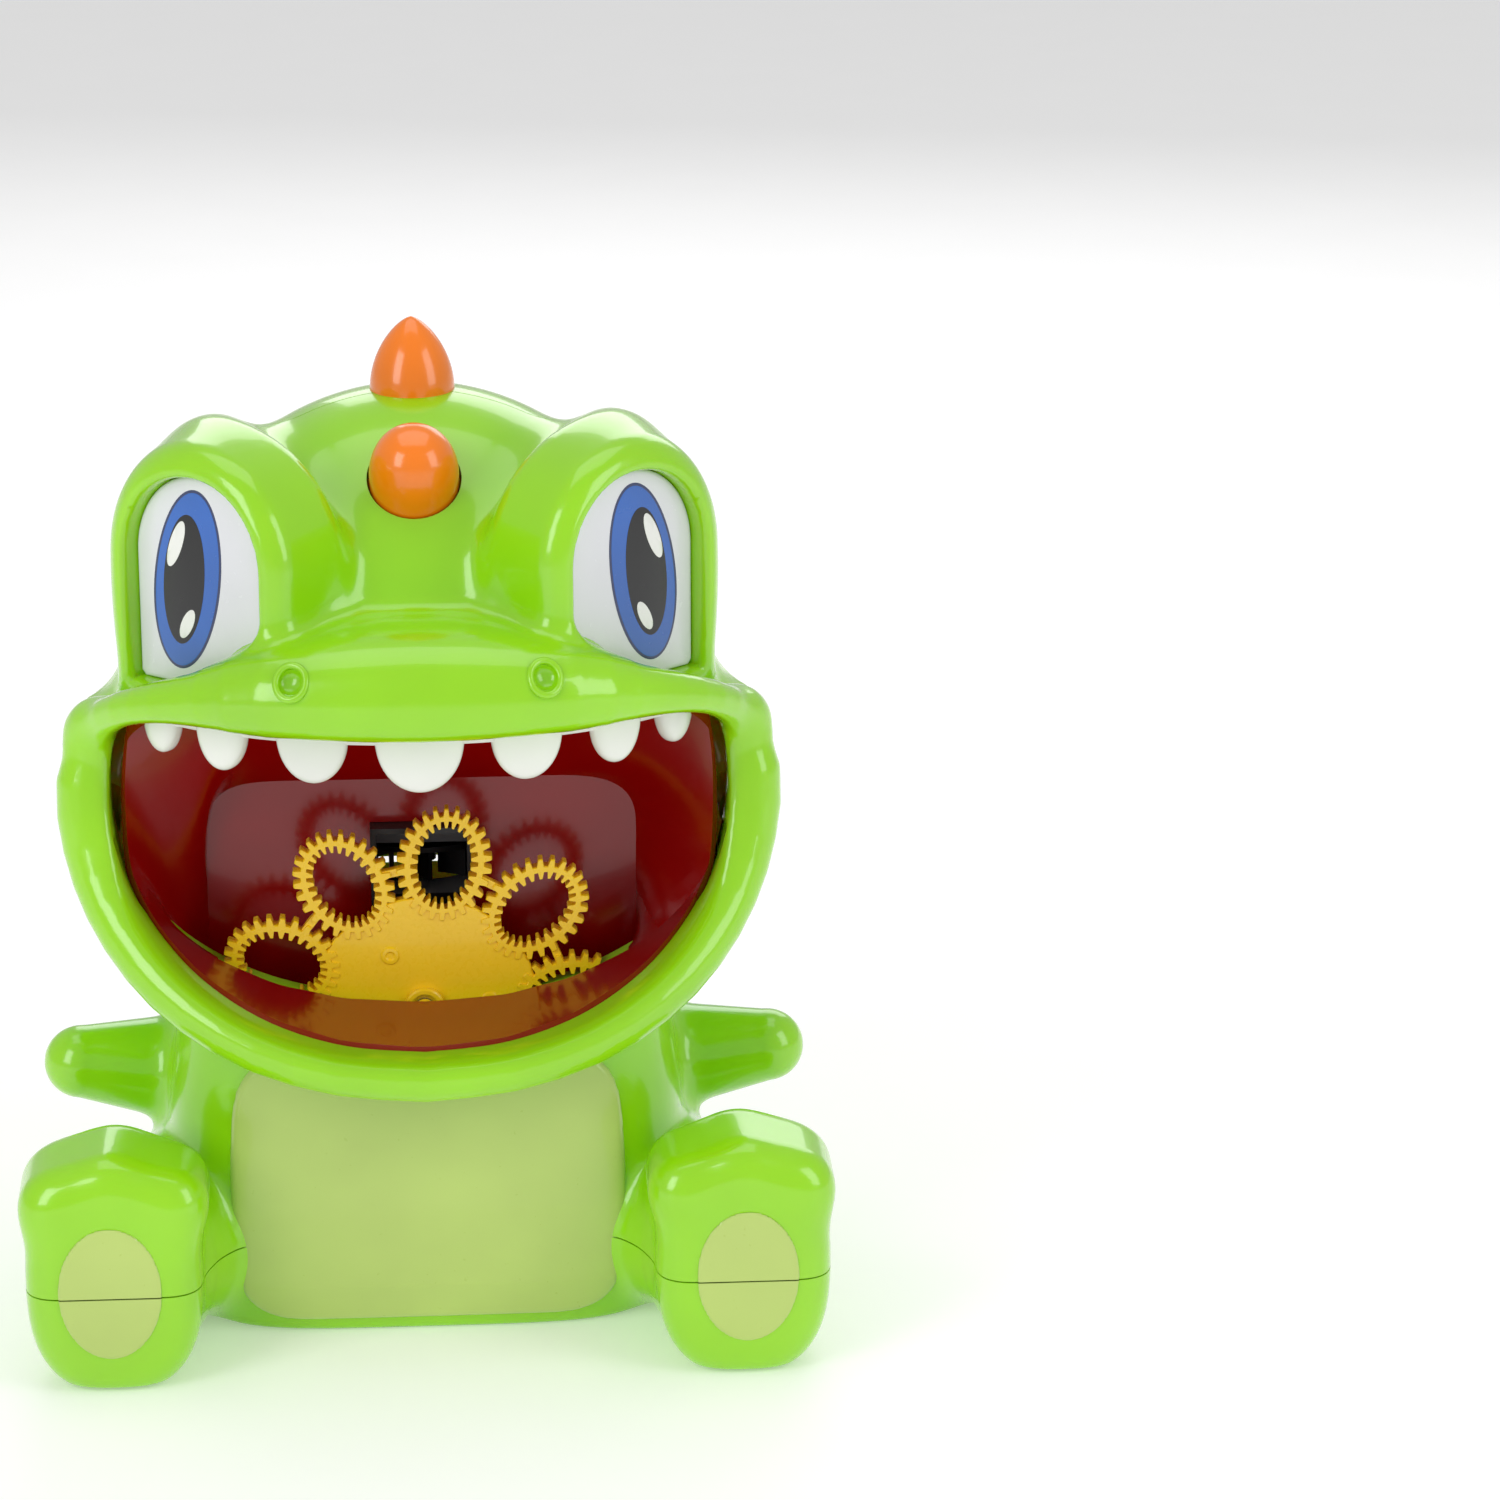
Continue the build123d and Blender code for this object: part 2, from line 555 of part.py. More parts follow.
# --- belly plate and teeth --------------------------------------------------------
plate_edges = [
    Spline((-34, 0, 2.0), (-34.5, 0, 25.0), (-33.0, 0, 44.0), (-31.5, 0, 49.0)),
    Line((-31.5, 0, 49.0), (31.5, 0, 49.0)),
    Spline((31.5, 0, 49.0), (33.0, 0, 44.0), (34.5, 0, 25.0), (34, 0, 2.0)),
    Line((34, 0, 2.0), (-34, 0, 2.0)),
]
plate_zone = extrude(make_face(plate_edges), amount=60, dir=(0, -1, 0))
belly = (torso(1.3) - torso(0.05)) & plate_zone
leg_clear = both(taper(hip_c, hip_r, ankle_c, ankle_r, 0.1)) + jaw()
belly -= leg_clear
belly_pegs = None
for x, z in ((-24, 42), (24, 42), (-9, 8), (9, 8)):
    peg = along_y(x, z, -36.0, -31.0, 1.6)
    belly_pegs = peg if belly_pegs is None else belly_pegs + peg
    bore = along_y(x, z, -40.0, -30.0, 1.7)
    if z > split_z:
        front -= bore
    else:
        rear -= bore
belly += belly_pegs
parts["front_casing"] = front
parts["rear_casing"] = rear
parts["belly_plate"] = belly

tooth_row = ((0.0, 7.4, 9.4), (18.0, 6.2, 8.0), (33.2, 4.8, 7.4), (43.6, 3.9, 6.4))
arc_x, arc_y = 56.0, 46.0
teeth = None
for x, half, drop in tooth_row:
    for s in ((1, -1) if x else (1,)):
        t = math.asin(x / arc_x)
        yaw = math.atan2(arc_y * math.sin(t), arc_x * math.cos(t))
        seat = Plane(
            origin=(s * x, -arc_y * math.cos(t) + 1.0, mouth_rows[0][1] - 0.9),
            x_dir=(math.cos(yaw), s * math.sin(yaw), 0),
            z_dir=(s * math.sin(yaw), -math.cos(yaw), 0),
        )
        pts = [(-half, 0), (-half * 0.94, -drop * 0.4), (-half * 0.55, -drop * 0.9), (0, -drop)]
        pts += [(-px, pz) for px, pz in reversed(pts[:-1])]
        edges = [Spline(*pts), Line(pts[-1], pts[0])]
        tooth = extrude(make_face(edges), amount=3.0)
        tooth = fillet(tooth.faces().sort_by(Axis.Z)[-1].edges().sort_by(Axis.Y)[0], 1.1)
        tooth = seat * (Pos(0, 0, -1.5) * tooth)
        teeth = tooth if teeth is None else teeth + tooth
band = Ellipse(arc_x + 1.0, arc_y + 0.2) - Ellipse(arc_x - 1.6, arc_y - 2.4)
band = extrude(Pos(0, 0, mouth_rows[0][1] - 2.6) * band, amount=2.2)
band &= block(-47.5, 47.5, -60, -22, 100, 120)
teeth += band
teeth &= extrude(outline(mouth_rows, tub_step_y, -0.06), amount=60, dir=(0, -1, 0))
parts["upper_teeth"] = teeth

# --- loop wheel ---------------------------------------------------------------------
turned = Plane(origin=(0, wheel_y, hub_z), x_dir=(1, 0, 0), z_dir=(0, -1, 0))
disc = Circle(wheel_disc_r)
rings, holes, ties = None, None, None
for n in range(loop_count):
    a = first_loop + 360 / loop_count * n
    outer_loop = Rot(0, 0, a) * (Pos(loop_ring_r, 0) * Ellipse(*loop_out))
    inner_loop = Rot(0, 0, a) * (Pos(loop_ring_r, 0) * Ellipse(*loop_in))
    tie = Rot(0, 0, a + 180 / loop_count) * (Pos(loop_ring_r - 2.2, 0) * Rectangle(2.4, 7.5))
    rings = outer_loop if rings is None else rings + outer_loop
    holes = inner_loop if holes is None else holes + inner_loop
    ties = tie if ties is None else ties + tie
web = extrude(disc - holes, amount=1.1, both=True)
hoops = extrude(rings + ties - holes, amount=wheel_thick / 2, both=True)
hub = Cylinder(3.4, 5.0) + Pos(0, 0, -2.5) * Cylinder(4.2, 4.2)
for n in range(3):
    t = math.radians(120 * n + 8)
    hub += Pos(11.5 * math.cos(t), 11.5 * math.sin(t), 1.2) * Cylinder(1.0, 1.2)
wheel = web + hoops + hub - Cylinder(shaft_r + 0.02, 40) - Pos(0, 0, 2.5) * Cylinder(2.6, 2.0)
loop_wheel = turned * wheel
wheel_shaft = along_y(0, hub_z, wheel_y - 1.4, 3.9, shaft_r)
wheel_screw = along_y(0, hub_z, wheel_y - 2.4, wheel_y - 1.42, 1.7)
shaft_seal = along_y(0, hub_z, tub_back_y - 1.6, tub_back_y - 0.05, 4.0)
shaft_seal -= along_y(0, hub_z, -20, 0, shaft_r + shaft_play)
parts["loop_wheel"] = loop_wheel
parts["wheel_shaft"] = wheel_shaft
parts["wheel_screw"] = wheel_screw
parts["shaft_seal"] = shaft_seal

# --- gear train ------------------------------------------------------------------------
low_gap = gear_m * (output_teeth + pinion_teeth) / 2
side_gap = gear_m * (wheel_teeth + pinion_teeth) / 2
second_c = (0.0, hub_z - low_gap)
first_c = (side_gap, second_c[1])
motor_c = (first_c[0], first_c[1] - side_gap)
output_gear = gear(output_teeth, 0, hub_z, layer_a_y, shaft_r + 0.02, 90 - 0.5 * 360 / output_teeth)
second = gear(pinion_teeth, *second_c, layer_a_y, axle_r + shaft_play, -90)
second += gear(wheel_teeth, *second_c, layer_b_y, axle_r + shaft_play, 0)
second_bore = along_y(*second_c, -9, 9, axle_r + shaft_play)
second += along_y(*second_c, layer_a_y + 0.9, layer_b_y - 0.9, 2.6) - second_bore
first = gear(pinion_teeth, *first_c, layer_b_y, axle_r + shaft_play, 180 - 0.5 * 360 / pinion_teeth)
first += gear(wheel_teeth, *first_c, layer_c_y, axle_r + shaft_play, 90)
first_bore = along_y(*first_c, -9, 9, axle_r + shaft_play)
first += along_y(*first_c, layer_b_y + 0.9, layer_c_y - 0.9, 2.6) - first_bore
pinion = gear(pinion_teeth, *motor_c, layer_c_y, 1.02, -90 - 0.5 * 360 / pinion_teeth)
second_axle = along_y(*second_c, gearbox_y0 + 0.4, gearbox_y1 - 0.2, axle_r)
first_axle = along_y(*first_c, gearbox_y0 + 0.4, gearbox_y1 - 0.2, axle_r)

box_x0, box_x1, box_z0, box_z1 = -15.5, 25.5, 19.5, 70.8
front_plate = block(box_x0, box_x1, gearbox_y0, gearbox_y1 - plate, box_z0, box_z1)
front_plate -= block(box_x0 + plate, box_x1 - plate, gearbox_y0 + plate, 20, box_z0 + plate, box_z1 - plate)
rear_plate = block(box_x0, box_x1, gearbox_y1 - plate, gearbox_y1, box_z0, box_z1)
box_screws = ((-13.0, 23.0), (23.4, 21.6), (-13.0, 67.6), (23.0, 67.6))
gearbox_screws = None
for x, z in box_screws:
    front_plate += along_y(x, z, gearbox_y0, gearbox_y1 - plate, 2.2)
    front_plate -= along_y(x, z, -20, 20, 1.0)
    rear_plate -= along_y(x, z, -20, 20, 1.2)
    pin = screw(x, z, gearbox_y1, 0.95, 1.8, 9.5, 1.0, 0.5)
    gearbox_screws = pin if gearbox_screws is None else gearbox_screws + pin
for c in (second_c, first_c):
    front_plate -= along_y(*c, gearbox_y0 + 0.4, 20, axle_r)
    rear_plate -= along_y(*c, 0, gearbox_y1 - 0.2, axle_r)
front_plate -= along_y(0, hub_z, -20, 20, shaft_r + shaft_play)
rear_plate -= along_y(0, hub_z, 0, 4.1, shaft_r + shaft_play)
rear_plate -= along_y(*motor_c, 0, 20, 3.1)
parts["output_gear"] = output_gear
parts["second_gear"] = second
parts["first_gear"] = first
parts["motor_pinion"] = pinion
parts["second_axle"] = second_axle
parts["first_axle"] = first_axle
parts["gearbox_case"] = front_plate
parts["gearbox_lid"] = rear_plate
parts["gearbox_screws"] = gearbox_screws

# wheel motor, behind the gearbox with its shaft to the front
motor_back_y = gearbox_y1 + 0.1 + motor_len
can, cap, frame, armature = motor((motor_c[0], motor_back_y, motor_c[1]), (0, -1, 0), (0, 0, 1))
parts["wheel_motor_can"] = can
parts["wheel_motor_cap"] = cap
spindle = Pos(0, 0, -0.6) * Cylinder(1.0, motor_len + 4.6, align=STANDING)
parts["wheel_motor_shaft"] = frame * (armature + spindle)

# --- blower ---------------------------------------------------------------------------
def flat_disc(r, z0, z1):
    return rod((0, fan_y, z0), (0, fan_y, z1), r)


duct_x0, duct_x1, duct_y0 = -scroll_r, nozzle_w / 2 + 1.7, -6.0
duct_z1 = nozzle_z + nozzle_h / 2 + 1.4
scroll = flat_disc(scroll_r, scroll_z0, scroll_z1)
scroll += block(duct_x0, -2.0, duct_y0, fan_y, scroll_z0, scroll_z1)
scroll += block(duct_x0, duct_x1, duct_y0, 2.0, scroll_z0, duct_z1)
w = scroll_wall
hollow = flat_disc(scroll_r - w, scroll_z0 + w, scroll_z1 - w)
hollow += block(duct_x0 + w, -2.0 - w, duct_y0 + w, fan_y, scroll_z0 + w, scroll_z1 - w)
hollow += block(duct_x0 + w, duct_x1 - w, duct_y0 + w, 2.0 - w, scroll_z0 + w, duct_z1 - w)
window = block(-nozzle_half, nozzle_half, duct_y0 - 1, duct_y0 + 4, nozzle_low, nozzle_high)
scroll = scroll - hollow - window
lid_cut_z = scroll_z1 - w
lid = scroll & block(-40, 40, 2.0, 60, lid_cut_z, scroll_z1 + 1)
housing = scroll - block(-40, 40, 2.0, 60, lid_cut_z, scroll_z1 + 1)
housing -= flat_disc(10.6, scroll_z0 - 1, scroll_z0 + w + 0.5)
for n in range(3):
    t = math.radians(120 * n + 90)
    x, y = 12.2 * math.cos(t), fan_y + 12.2 * math.sin(t)
    housing += rod((x, y, fan_motor_z0 + motor_len - 3.0), (x, y, scroll_z0 + 0.6), 1.5)
collar = flat_disc(13.6, fan_motor_z0 + motor_len - 4.0, fan_motor_z0 + motor_len - 1.4)
collar -= flat_disc(motor_r + 0.05, 0, 100) + block(-40, 40, -10, 6.2, 0, 100)
housing += collar
can, cap, frame, armature = motor((0, fan_y, fan_motor_z0), (0, 0, 1), (0, 1, 0))
shaft_top = scroll_z1 - w - 0.6
parts["fan_housing"] = housing
parts["fan_lid"] = lid
parts["fan_motor_can"] = can
parts["fan_motor_cap"] = cap
spindle = Pos(0, 0, -0.6) * Cylinder(1.0, shaft_top - fan_motor_z0 + 0.6, align=STANDING)
parts["fan_motor_shaft"] = frame * (armature + spindle)
fan_z0 = scroll_z0 + w + 0.7
fan = flat_disc(fan_r, fan_z0 + fan_tall - 1.0, fan_z0 + fan_tall)
fan += flat_disc(2.6, fan_z0, fan_z0 + fan_tall)
blade = Pos(fan_r - 3.4, 0, 0) * (Rot(0, 0, 32) * Box(5.6, 0.8, fan_tall - 0.6, align=STANDING))
for n in range(12):
    fan += Pos(0, fan_y, fan_z0) * (Rot(0, 0, 30 * n) * blade)
fan -= flat_disc(1.02, 0, 120)
parts["fan_impeller"] = fan
nozzle = block(-nozzle_half - 1, nozzle_half + 1, -12, duct_y0 - 0.02, nozzle_low - 1, nozzle_high + 1)
nozzle -= block(-nozzle_w / 2, nozzle_w / 2, -20, 0, nozzle_z - nozzle_h / 2, nozzle_z + nozzle_h / 2)
parts["nozzle"] = nozzle

# --- batteries -----------------------------------------------------------------------
tray = block(-30.6, 30.6, 13.2, 14.6, 85.0, 140.6)
tray += block(-30.6, 30.6, 14.5, 21.5, 85.0, 86.2)
tray += block(-30.6, 30.6, 14.5, 20.0, 139.4, 140.6)
for n in range(5):
    x = (n - 2) * cell_step
    if abs(x) < 29:
        tray += block(x - 0.12, x + 0.12, 14.5, 20.0, 86, 139.5)
    else:
        s = math.copysign(1, x)
        tray += block(min(s * 29.5, s * 30.6), max(s * 29.5, s * 30.6), 14.5, 20.0, 86, 139.5)
parts["battery_box"] = tray
contacts = None
for n in range(4):
    x = (n - 1.5) * cell_step
    up = n % 2 == 0
    z0 = cell_z0 + (0.0 if up else 1.0)
    cell = rod((x, cell_y, z0), (x, cell_y, z0 + cell_len - 1.0), cell_r)
    end = z0 + cell_len - 1.0 if up else z0
    cell += rod((x, cell_y, end - 0.5 if up else end - 1.0), (x, cell_y, end + 1.0 if up else end + 0.5), 2.6)
    parts["cell_%d" % (n + 1)] = cell
    for z in (86.25, 138.9):
        tab = block(x - 5.0, x + 5.0, 16.0, 21.0, z, z + 0.4)
        contacts = tab if contacts is None else contacts + tab
    base = 86.6 if up else 138.9
    step = 0.42 if up else -0.42
    for k in range(3):
        coil = Pos(x, cell_y - 1.5, base + step * (k + 0.5)) * Torus(3.6 - 0.6 * k, 0.24)
        contacts += coil
parts["battery_contacts"] = contacts

# --- sound and electronics --------------------------------------------------------------
sx, sz = speaker_c
profile = [(0, 8.0), (5.4, 8.0), (5.4, 11.2), (6.4, 11.2), (9.0, 15.4), (10.0, 15.4), (10.0, 16.9)]
profile += [(9.0, 16.9), (8.2, 16.0), (4.0, 13.2), (2.6, 14.4), (0, 14.8)]
speaker = revolve(make_face(Polyline(*profile, close=True)), Axis.Y)
parts["speaker"] = Pos(sx, 0, sz) * speaker
board = block(-33.0, -12.0, board_y, board_y + 1.4, 37.0, 59.0)
parts["circuit_board"] = board
chips = block(-27, -20, board_y - 1.6, board_y, 44, 51) + along_y(-17, 54, board_y - 6.0, board_y, 2.4)
chips += along_y(-17, 43, board_y - 6.0, board_y, 2.4) + block(-30, -24, board_y - 4.5, board_y, 53.5, 57)
parts["board_parts"] = chips
parts["power_board"] = power_board
parts["power_switch"] = power_switch
parts["music_board"] = music_board
parts["music_switch"] = music_switch

# --- hand over ---------------------------------------------------------------------------
os.makedirs("parts", exist_ok=True)
for name, shape in parts.items():
    export_step(Pos(0, shift_y, 0) * Compound(shape.solids()), "parts/%s.step" % name)
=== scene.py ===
import bpy
import bmesh
import math
import numpy as np
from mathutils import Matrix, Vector


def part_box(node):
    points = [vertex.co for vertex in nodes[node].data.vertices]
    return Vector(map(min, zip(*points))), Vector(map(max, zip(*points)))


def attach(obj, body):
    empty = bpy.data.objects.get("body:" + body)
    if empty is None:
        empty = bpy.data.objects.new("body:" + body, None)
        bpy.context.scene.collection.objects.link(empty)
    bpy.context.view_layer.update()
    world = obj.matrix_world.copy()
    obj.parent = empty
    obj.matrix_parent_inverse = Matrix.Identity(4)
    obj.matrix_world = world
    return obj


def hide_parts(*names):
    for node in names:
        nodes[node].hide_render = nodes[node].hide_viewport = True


# Cartoon dinosaur bubble machine. Shapes are worked out in millimetres in the CAD's own
# axes and scaled to metres when a mesh is made. +Z up, the face looks along -Y.

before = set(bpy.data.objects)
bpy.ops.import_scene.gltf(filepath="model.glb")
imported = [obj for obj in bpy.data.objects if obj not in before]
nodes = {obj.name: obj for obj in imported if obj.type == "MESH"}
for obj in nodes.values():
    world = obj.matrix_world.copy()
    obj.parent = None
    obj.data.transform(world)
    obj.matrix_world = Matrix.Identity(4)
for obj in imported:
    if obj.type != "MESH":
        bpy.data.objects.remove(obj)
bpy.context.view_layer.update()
MM = 0.001
CELL_Y = 22.0
cell_low, cell_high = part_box("cell_1")
SHIFT_Y = round((cell_low.y + cell_high.y) / 2 / MM - CELL_Y, 2)
STEP = 0.85


# ------------------------------------------------------------------ field of the body
def ball(x, y, z, c, r):
    """Near distance to an ellipsoid with centre c and half sizes r."""
    px, py, pz = x - c[0], y - c[1], z - c[2]
    k0 = np.sqrt((px / r[0]) ** 2 + (py / r[1]) ** 2 + (pz / r[2]) ** 2)
    k1 = np.sqrt((px / r[0] ** 2) ** 2 + (py / r[1] ** 2) ** 2 + (pz / r[2] ** 2) ** 2)
    return k0 * (k0 - 1.0) / (k1 + 1e-6)


def limb(x, y, z, a, ra, b, rb):
    """Near distance to a round-ended cone from a to b."""
    d = [b[i] - a[i] for i in range(3)]
    ll = d[0] ** 2 + d[1] ** 2 + d[2] ** 2
    t = ((x - a[0]) * d[0] + (y - a[1]) * d[1] + (z - a[2]) * d[2]) / ll
    t = np.clip(t, 0, 1)
    q = (x - a[0] - t * d[0]) ** 2 + (y - a[1] - t * d[1]) ** 2 + (z - a[2] - t * d[2]) ** 2
    return np.sqrt(q) - (ra + t * (rb - ra))


def chain(x, y, z, rows):
    """Row of limbs through (x, y, z, radius) points."""
    out = None
    for (ax, ay, az, ar), (bx, by, bz, br) in zip(rows, rows[1:]):
        d = limb(x, y, z, (ax, ay, az), ar, (bx, by, bz), br)
        out = d if out is None else np.minimum(out, d)
    return out


def join(a, b, k):
    """a and b together, with the valley between them filled over a width k."""
    h = np.maximum(k - np.abs(a - b), 0.0)
    return np.minimum(a, b) - h * h / (4.0 * k)


def carve(a, b, k):
    """a with b taken away, with the edge rounded by k."""
    return -join(-a, b, k)


def meet(a, b, k):
    """What a and b share, with the edge rounded by k."""
    return -join(-a, -b, k)


# the lips are rows of (x, y, z, radius), from the mouth's corner to the middle
LIP = (
    (54.8, -20.0, 109.5, 4.4), (57.2, -20.5, 99.0, 5.6), (56.4, -22.5, 88.5, 5.6),
    (53.2, -27.0, 78.8, 5.2), (47.3, -33.5, 70.6, 4.9), (39.0, -39.8, 64.0, 4.7),
    (28.0, -45.3, 58.8, 4.5), (14.5, -48.8, 55.6, 4.4), (0.0, -50.0, 54.6, 4.4),
)
UPPER_LIP = (
    (57.0, -19.0, 108.5, 3.6), (49.5, -32.5, 115.6, 3.4), (38.5, -42.0, 119.5, 4.6),
    (24.0, -48.5, 121.5, 7.0), (0.0, -50.5, 122.5, 8.6),
)
# height, half width, depth to the front and depth to the back
TORSO = (
    (0.0, 41.0, 31.0, 29.0), (10.0, 45.5, 34.5, 32.0), (25.0, 47.0, 36.0, 33.0),
    (42.0, 45.5, 35.5, 32.0), (58.0, 43.0, 34.5, 30.5), (72.0, 42.0, 34.5, 28.0),
)
EYE_MID = (35.8, -32.0, 138.5)
YAW = math.radians(42.0)
EYE_HALF, EYE_TOP, EYE_LOW = 14.9, 17.5, -19.5
RIM_WIDE, RIM_ROUND = 4.8, 4.4
# centre and half sizes
SKULL = ((0, 3, 116), (46.5, 41, 47.5))
CHEEK = ((0, -3, 88), (63.5, 46, 42))
RIDGE = ((34, -12, 136), (14.5, 27, 25.5))
SNOUT = ((0, -42, 122), (34, 17, 11))
# a ball at each end, its centre followed by its radius
LEG = ((31, 0, 17), 19.5, (50, -34, 17), 14.5)
ARM = ((43, -3, 40), 10, (61.5, -8, 43.5), 6.5)
TAIL = ((0, 24, 13), 15, (0, 41, 4.5), 4.5)
TOES = (
    ((42.8, -51, 34.0), (43.6, -42, 34.0)),
    ((54.3, -51, 37.0), (54.3, -41, 37.0)),
    ((64.4, -51, 34.0), (64.0, -42, 34.0)),
)


def smooth_rows(rows, n):
    """A Catmull-Rom line through rows of numbers."""
    rows = np.array(rows, float)
    ext = np.vstack([2 * rows[0] - rows[1], rows, 2 * rows[-1] - rows[-2]])
    out = []
    for i in range(1, len(ext) - 2):
        p0, p1, p2, p3 = ext[i - 1], ext[i], ext[i + 1], ext[i + 2]
        for j in range(n):
            t = j / n
            out.append(0.5 * (2 * p1 + (p2 - p0) * t + (2 * p0 - 5 * p1 + 4 * p2 - p3) * t ** 2
                              + (3 * p1 - p0 - 3 * p2 + p3) * t ** 3))
    out.append(rows[-1])
    return [tuple(r) for r in out]


def eye_axes(x, y, z):
    """Across, up and outward distances from the right eye's middle."""
    c, s = math.cos(YAW), math.sin(YAW)
    dx, dy = x - EYE_MID[0], y - EYE_MID[1]
    return dx * c + dy * s, z - EYE_MID[2], dx * s - dy * c


def arch(u, v, half, top, low):
    """Flat distance to a window with a round top and a straight sill."""
    base = top - half
    d = np.where(v > base, np.sqrt(u * u + (v - base) ** 2) - half, np.abs(u) - half)
    return np.maximum(d, low - v)


def torso_field(ax, y, z):
    """Torso of squarish slices, whose half width and depths follow the TORSO rows."""
    hz = np.interp(z, ROW_Z, ROW_H).astype(z.dtype)
    fz = np.interp(z, ROW_Z, ROW_F).astype(z.dtype)
    bz = np.interp(z, ROW_Z, ROW_B).astype(z.dtype)
    p = np.where(y < 0, 4.5, 3.0)
    dep = np.where(y < 0, fz, bz)
    return (((ax / hz) ** p + (np.abs(y) / dep) ** p) ** (1 / p) - 1.0) * 36.0


def body(x, y, z):
    """The closed dinosaur, left and right alike, before its mouth is opened."""
    ax = np.abs(x)
    head = join(ball(ax, y, z, *SKULL), ball(ax, y, z, *CHEEK), 16.0)
    # brow: a ridge with a rounded socket about the eye
    u, v, w = eye_axes(ax, y, z)
    ridge = ball(ax, y, z, *RIDGE)
    rim = arch(u, v, EYE_HALF + RIM_WIDE, EYE_TOP + RIM_WIDE, EYE_LOW - 3)
    deep = np.maximum(w - 3.2, -16.0 - w)
    q1, q2 = rim + RIM_ROUND, deep + RIM_ROUND
    corner_gap = np.sqrt(np.maximum(q1, 0) ** 2 + np.maximum(q2, 0) ** 2)
    socket = np.minimum(np.maximum(q1, q2), 0) + corner_gap - RIM_ROUND
    brow = join(ridge, socket, 10.0)
    head = join(head, brow, 8.0)
    # jaw: a bowl behind the lower lip
    s = ((ax / 60.6) ** 2.3 + (np.maximum(100.0 - z, 0.0) / 48.6) ** 2.3) ** (1 / 2.3)
    bowl = (s - 1.0) * 50.0
    front = (np.sqrt((ax / 60.8) ** 2 + (y / 49.8) ** 2) - 1.0) * 50.0
    bowl = meet(meet(bowl, front, 4.0), np.maximum(y, z - 108.0), 3.0)
    head = join(head, bowl, 5.0)
    lip = chain(ax, y, z, LIP_LINE)
    head = join(head, lip, 3.0)
    # upper lip and snout, with the eye's pocket cut behind them
    snout = ball(ax, y, z, *SNOUT)
    upper = chain(ax, y, z, UPPER_LINE)
    snout = join(snout, upper, 5.0)
    pocket = np.maximum(arch(u, v, EYE_HALF, EYE_TOP, EYE_LOW), -0.6 - w)
    head = carve(head, pocket, 2.2)
    head = join(head, snout, 4.0)
    # torso, legs, feet, arms and tail
    torso = meet(torso_field(ax, y, z), z - 68.0, 3.0)
    torso = join(torso, limb(ax, y, z, *LEG), 3.5)
    k = ((np.abs(ax - 54.2) / 15.2) ** 2.6 + (np.abs(z - 19.0) / 20.6) ** 2.6) ** (1 / 2.6)
    foot = meet((k - 1.0) * 17.0, np.abs(y + 46.0) - 10.6, 7.5)
    for a, b in TOES:
        foot = join(foot, limb(ax, y, z, a, 4.6, b, 5.2), 7.5)
    torso = join(torso, foot, 5.0)
    torso = join(torso, limb(ax, y, z, *ARM), 4.0)
    torso = join(torso, limb(ax, y, z, *TAIL), 12.0)
    whole = join(head, torso, 2.0)
    return meet(whole, -z, 1.2)


LIP_LINE = smooth_rows(LIP, 2)
UPPER_LINE = smooth_rows(UPPER_LIP, 3)
ROW_Z = [r[0] for r in TORSO]
ROW_H = [r[1] for r in TORSO]
ROW_F = [r[2] for r in TORSO]
ROW_B = [r[3] for r in TORSO]


def slope(field, p, e=0.05):
    """How steeply the field changes at each point, along X, Y and Z."""
    x, y, z = p[:, 0], p[:, 1], p[:, 2]
    g = np.stack([
        field(x + e, y, z) - field(x - e, y, z),
        field(x, y + e, z) - field(x, y - e, z),
        field(x, y, z + e) - field(x, y, z - e),
    ], axis=1)
    return g / (2 * e)


def settle(field, p, level=0.0, rounds=3):
    """Moves points onto the surface where the field has the given level."""
    for _ in range(rounds):
        f = field(p[:, 0], p[:, 1], p[:, 2]) - level
        g = slope(field, p)
        n2 = np.maximum((g * g).sum(1), 0.2)
        move = -(f / n2)[:, None] * g
        size = np.linalg.norm(move, axis=1, keepdims=True)
        p = p + move * np.minimum(1.0, 0.6 / np.maximum(size, 1e-9))
    return p


def nets(values, low, step):
    """Surface of values = 0 as points and quads, one point to a cell."""
    inside = values < 0
    shape = np.array(values.shape)
    cells = shape - 1
    total = int(np.prod(cells))
    sums = np.zeros((total, 3))
    count = np.zeros(total)
    quads = []
    for axis in range(3):
        a = [slice(None)] * 3
        b = [slice(None)] * 3
        a[axis], b[axis] = slice(0, -1), slice(1, None)
        cross = inside[tuple(a)] != inside[tuple(b)]
        idx = np.argwhere(cross)
        others = [k for k in range(3) if k != axis]
        ok = np.all((idx[:, others] > 0) & (idx[:, others] < shape[others] - 1), axis=1)
        idx = idx[ok]
        f0 = values[tuple(a)][tuple(idx.T)]
        f1 = values[tuple(b)][tuple(idx.T)]
        t = f0 / (f0 - f1)
        pos = idx.astype(float)
        pos[:, axis] += t
        u, v = others
        ring = []
        for du, dv in ((-1, -1), (0, -1), (0, 0), (-1, 0)):
            c = idx.copy()
            c[:, u] += du
            c[:, v] += dv
            flat = np.ravel_multi_index(c.T, cells)
            ring.append(flat)
            for k in range(3):
                sums[:, k] += np.bincount(flat, weights=pos[:, k], minlength=total)
            count += np.bincount(flat, minlength=total)
        q = np.stack(ring, axis=1)
        start_in = inside[tuple(a)][tuple(idx.T)]
        turn = start_in if axis != 1 else ~start_in
        q[~turn] = q[~turn][:, ::-1]
        quads.append(q)
    quads = np.concatenate(quads)
    used = np.nonzero(count)[0]
    back = np.full(total, -1)
    back[used] = np.arange(len(used))
    pts = sums[used] / count[used][:, None] * step + np.array(low)
    return pts, back[quads]


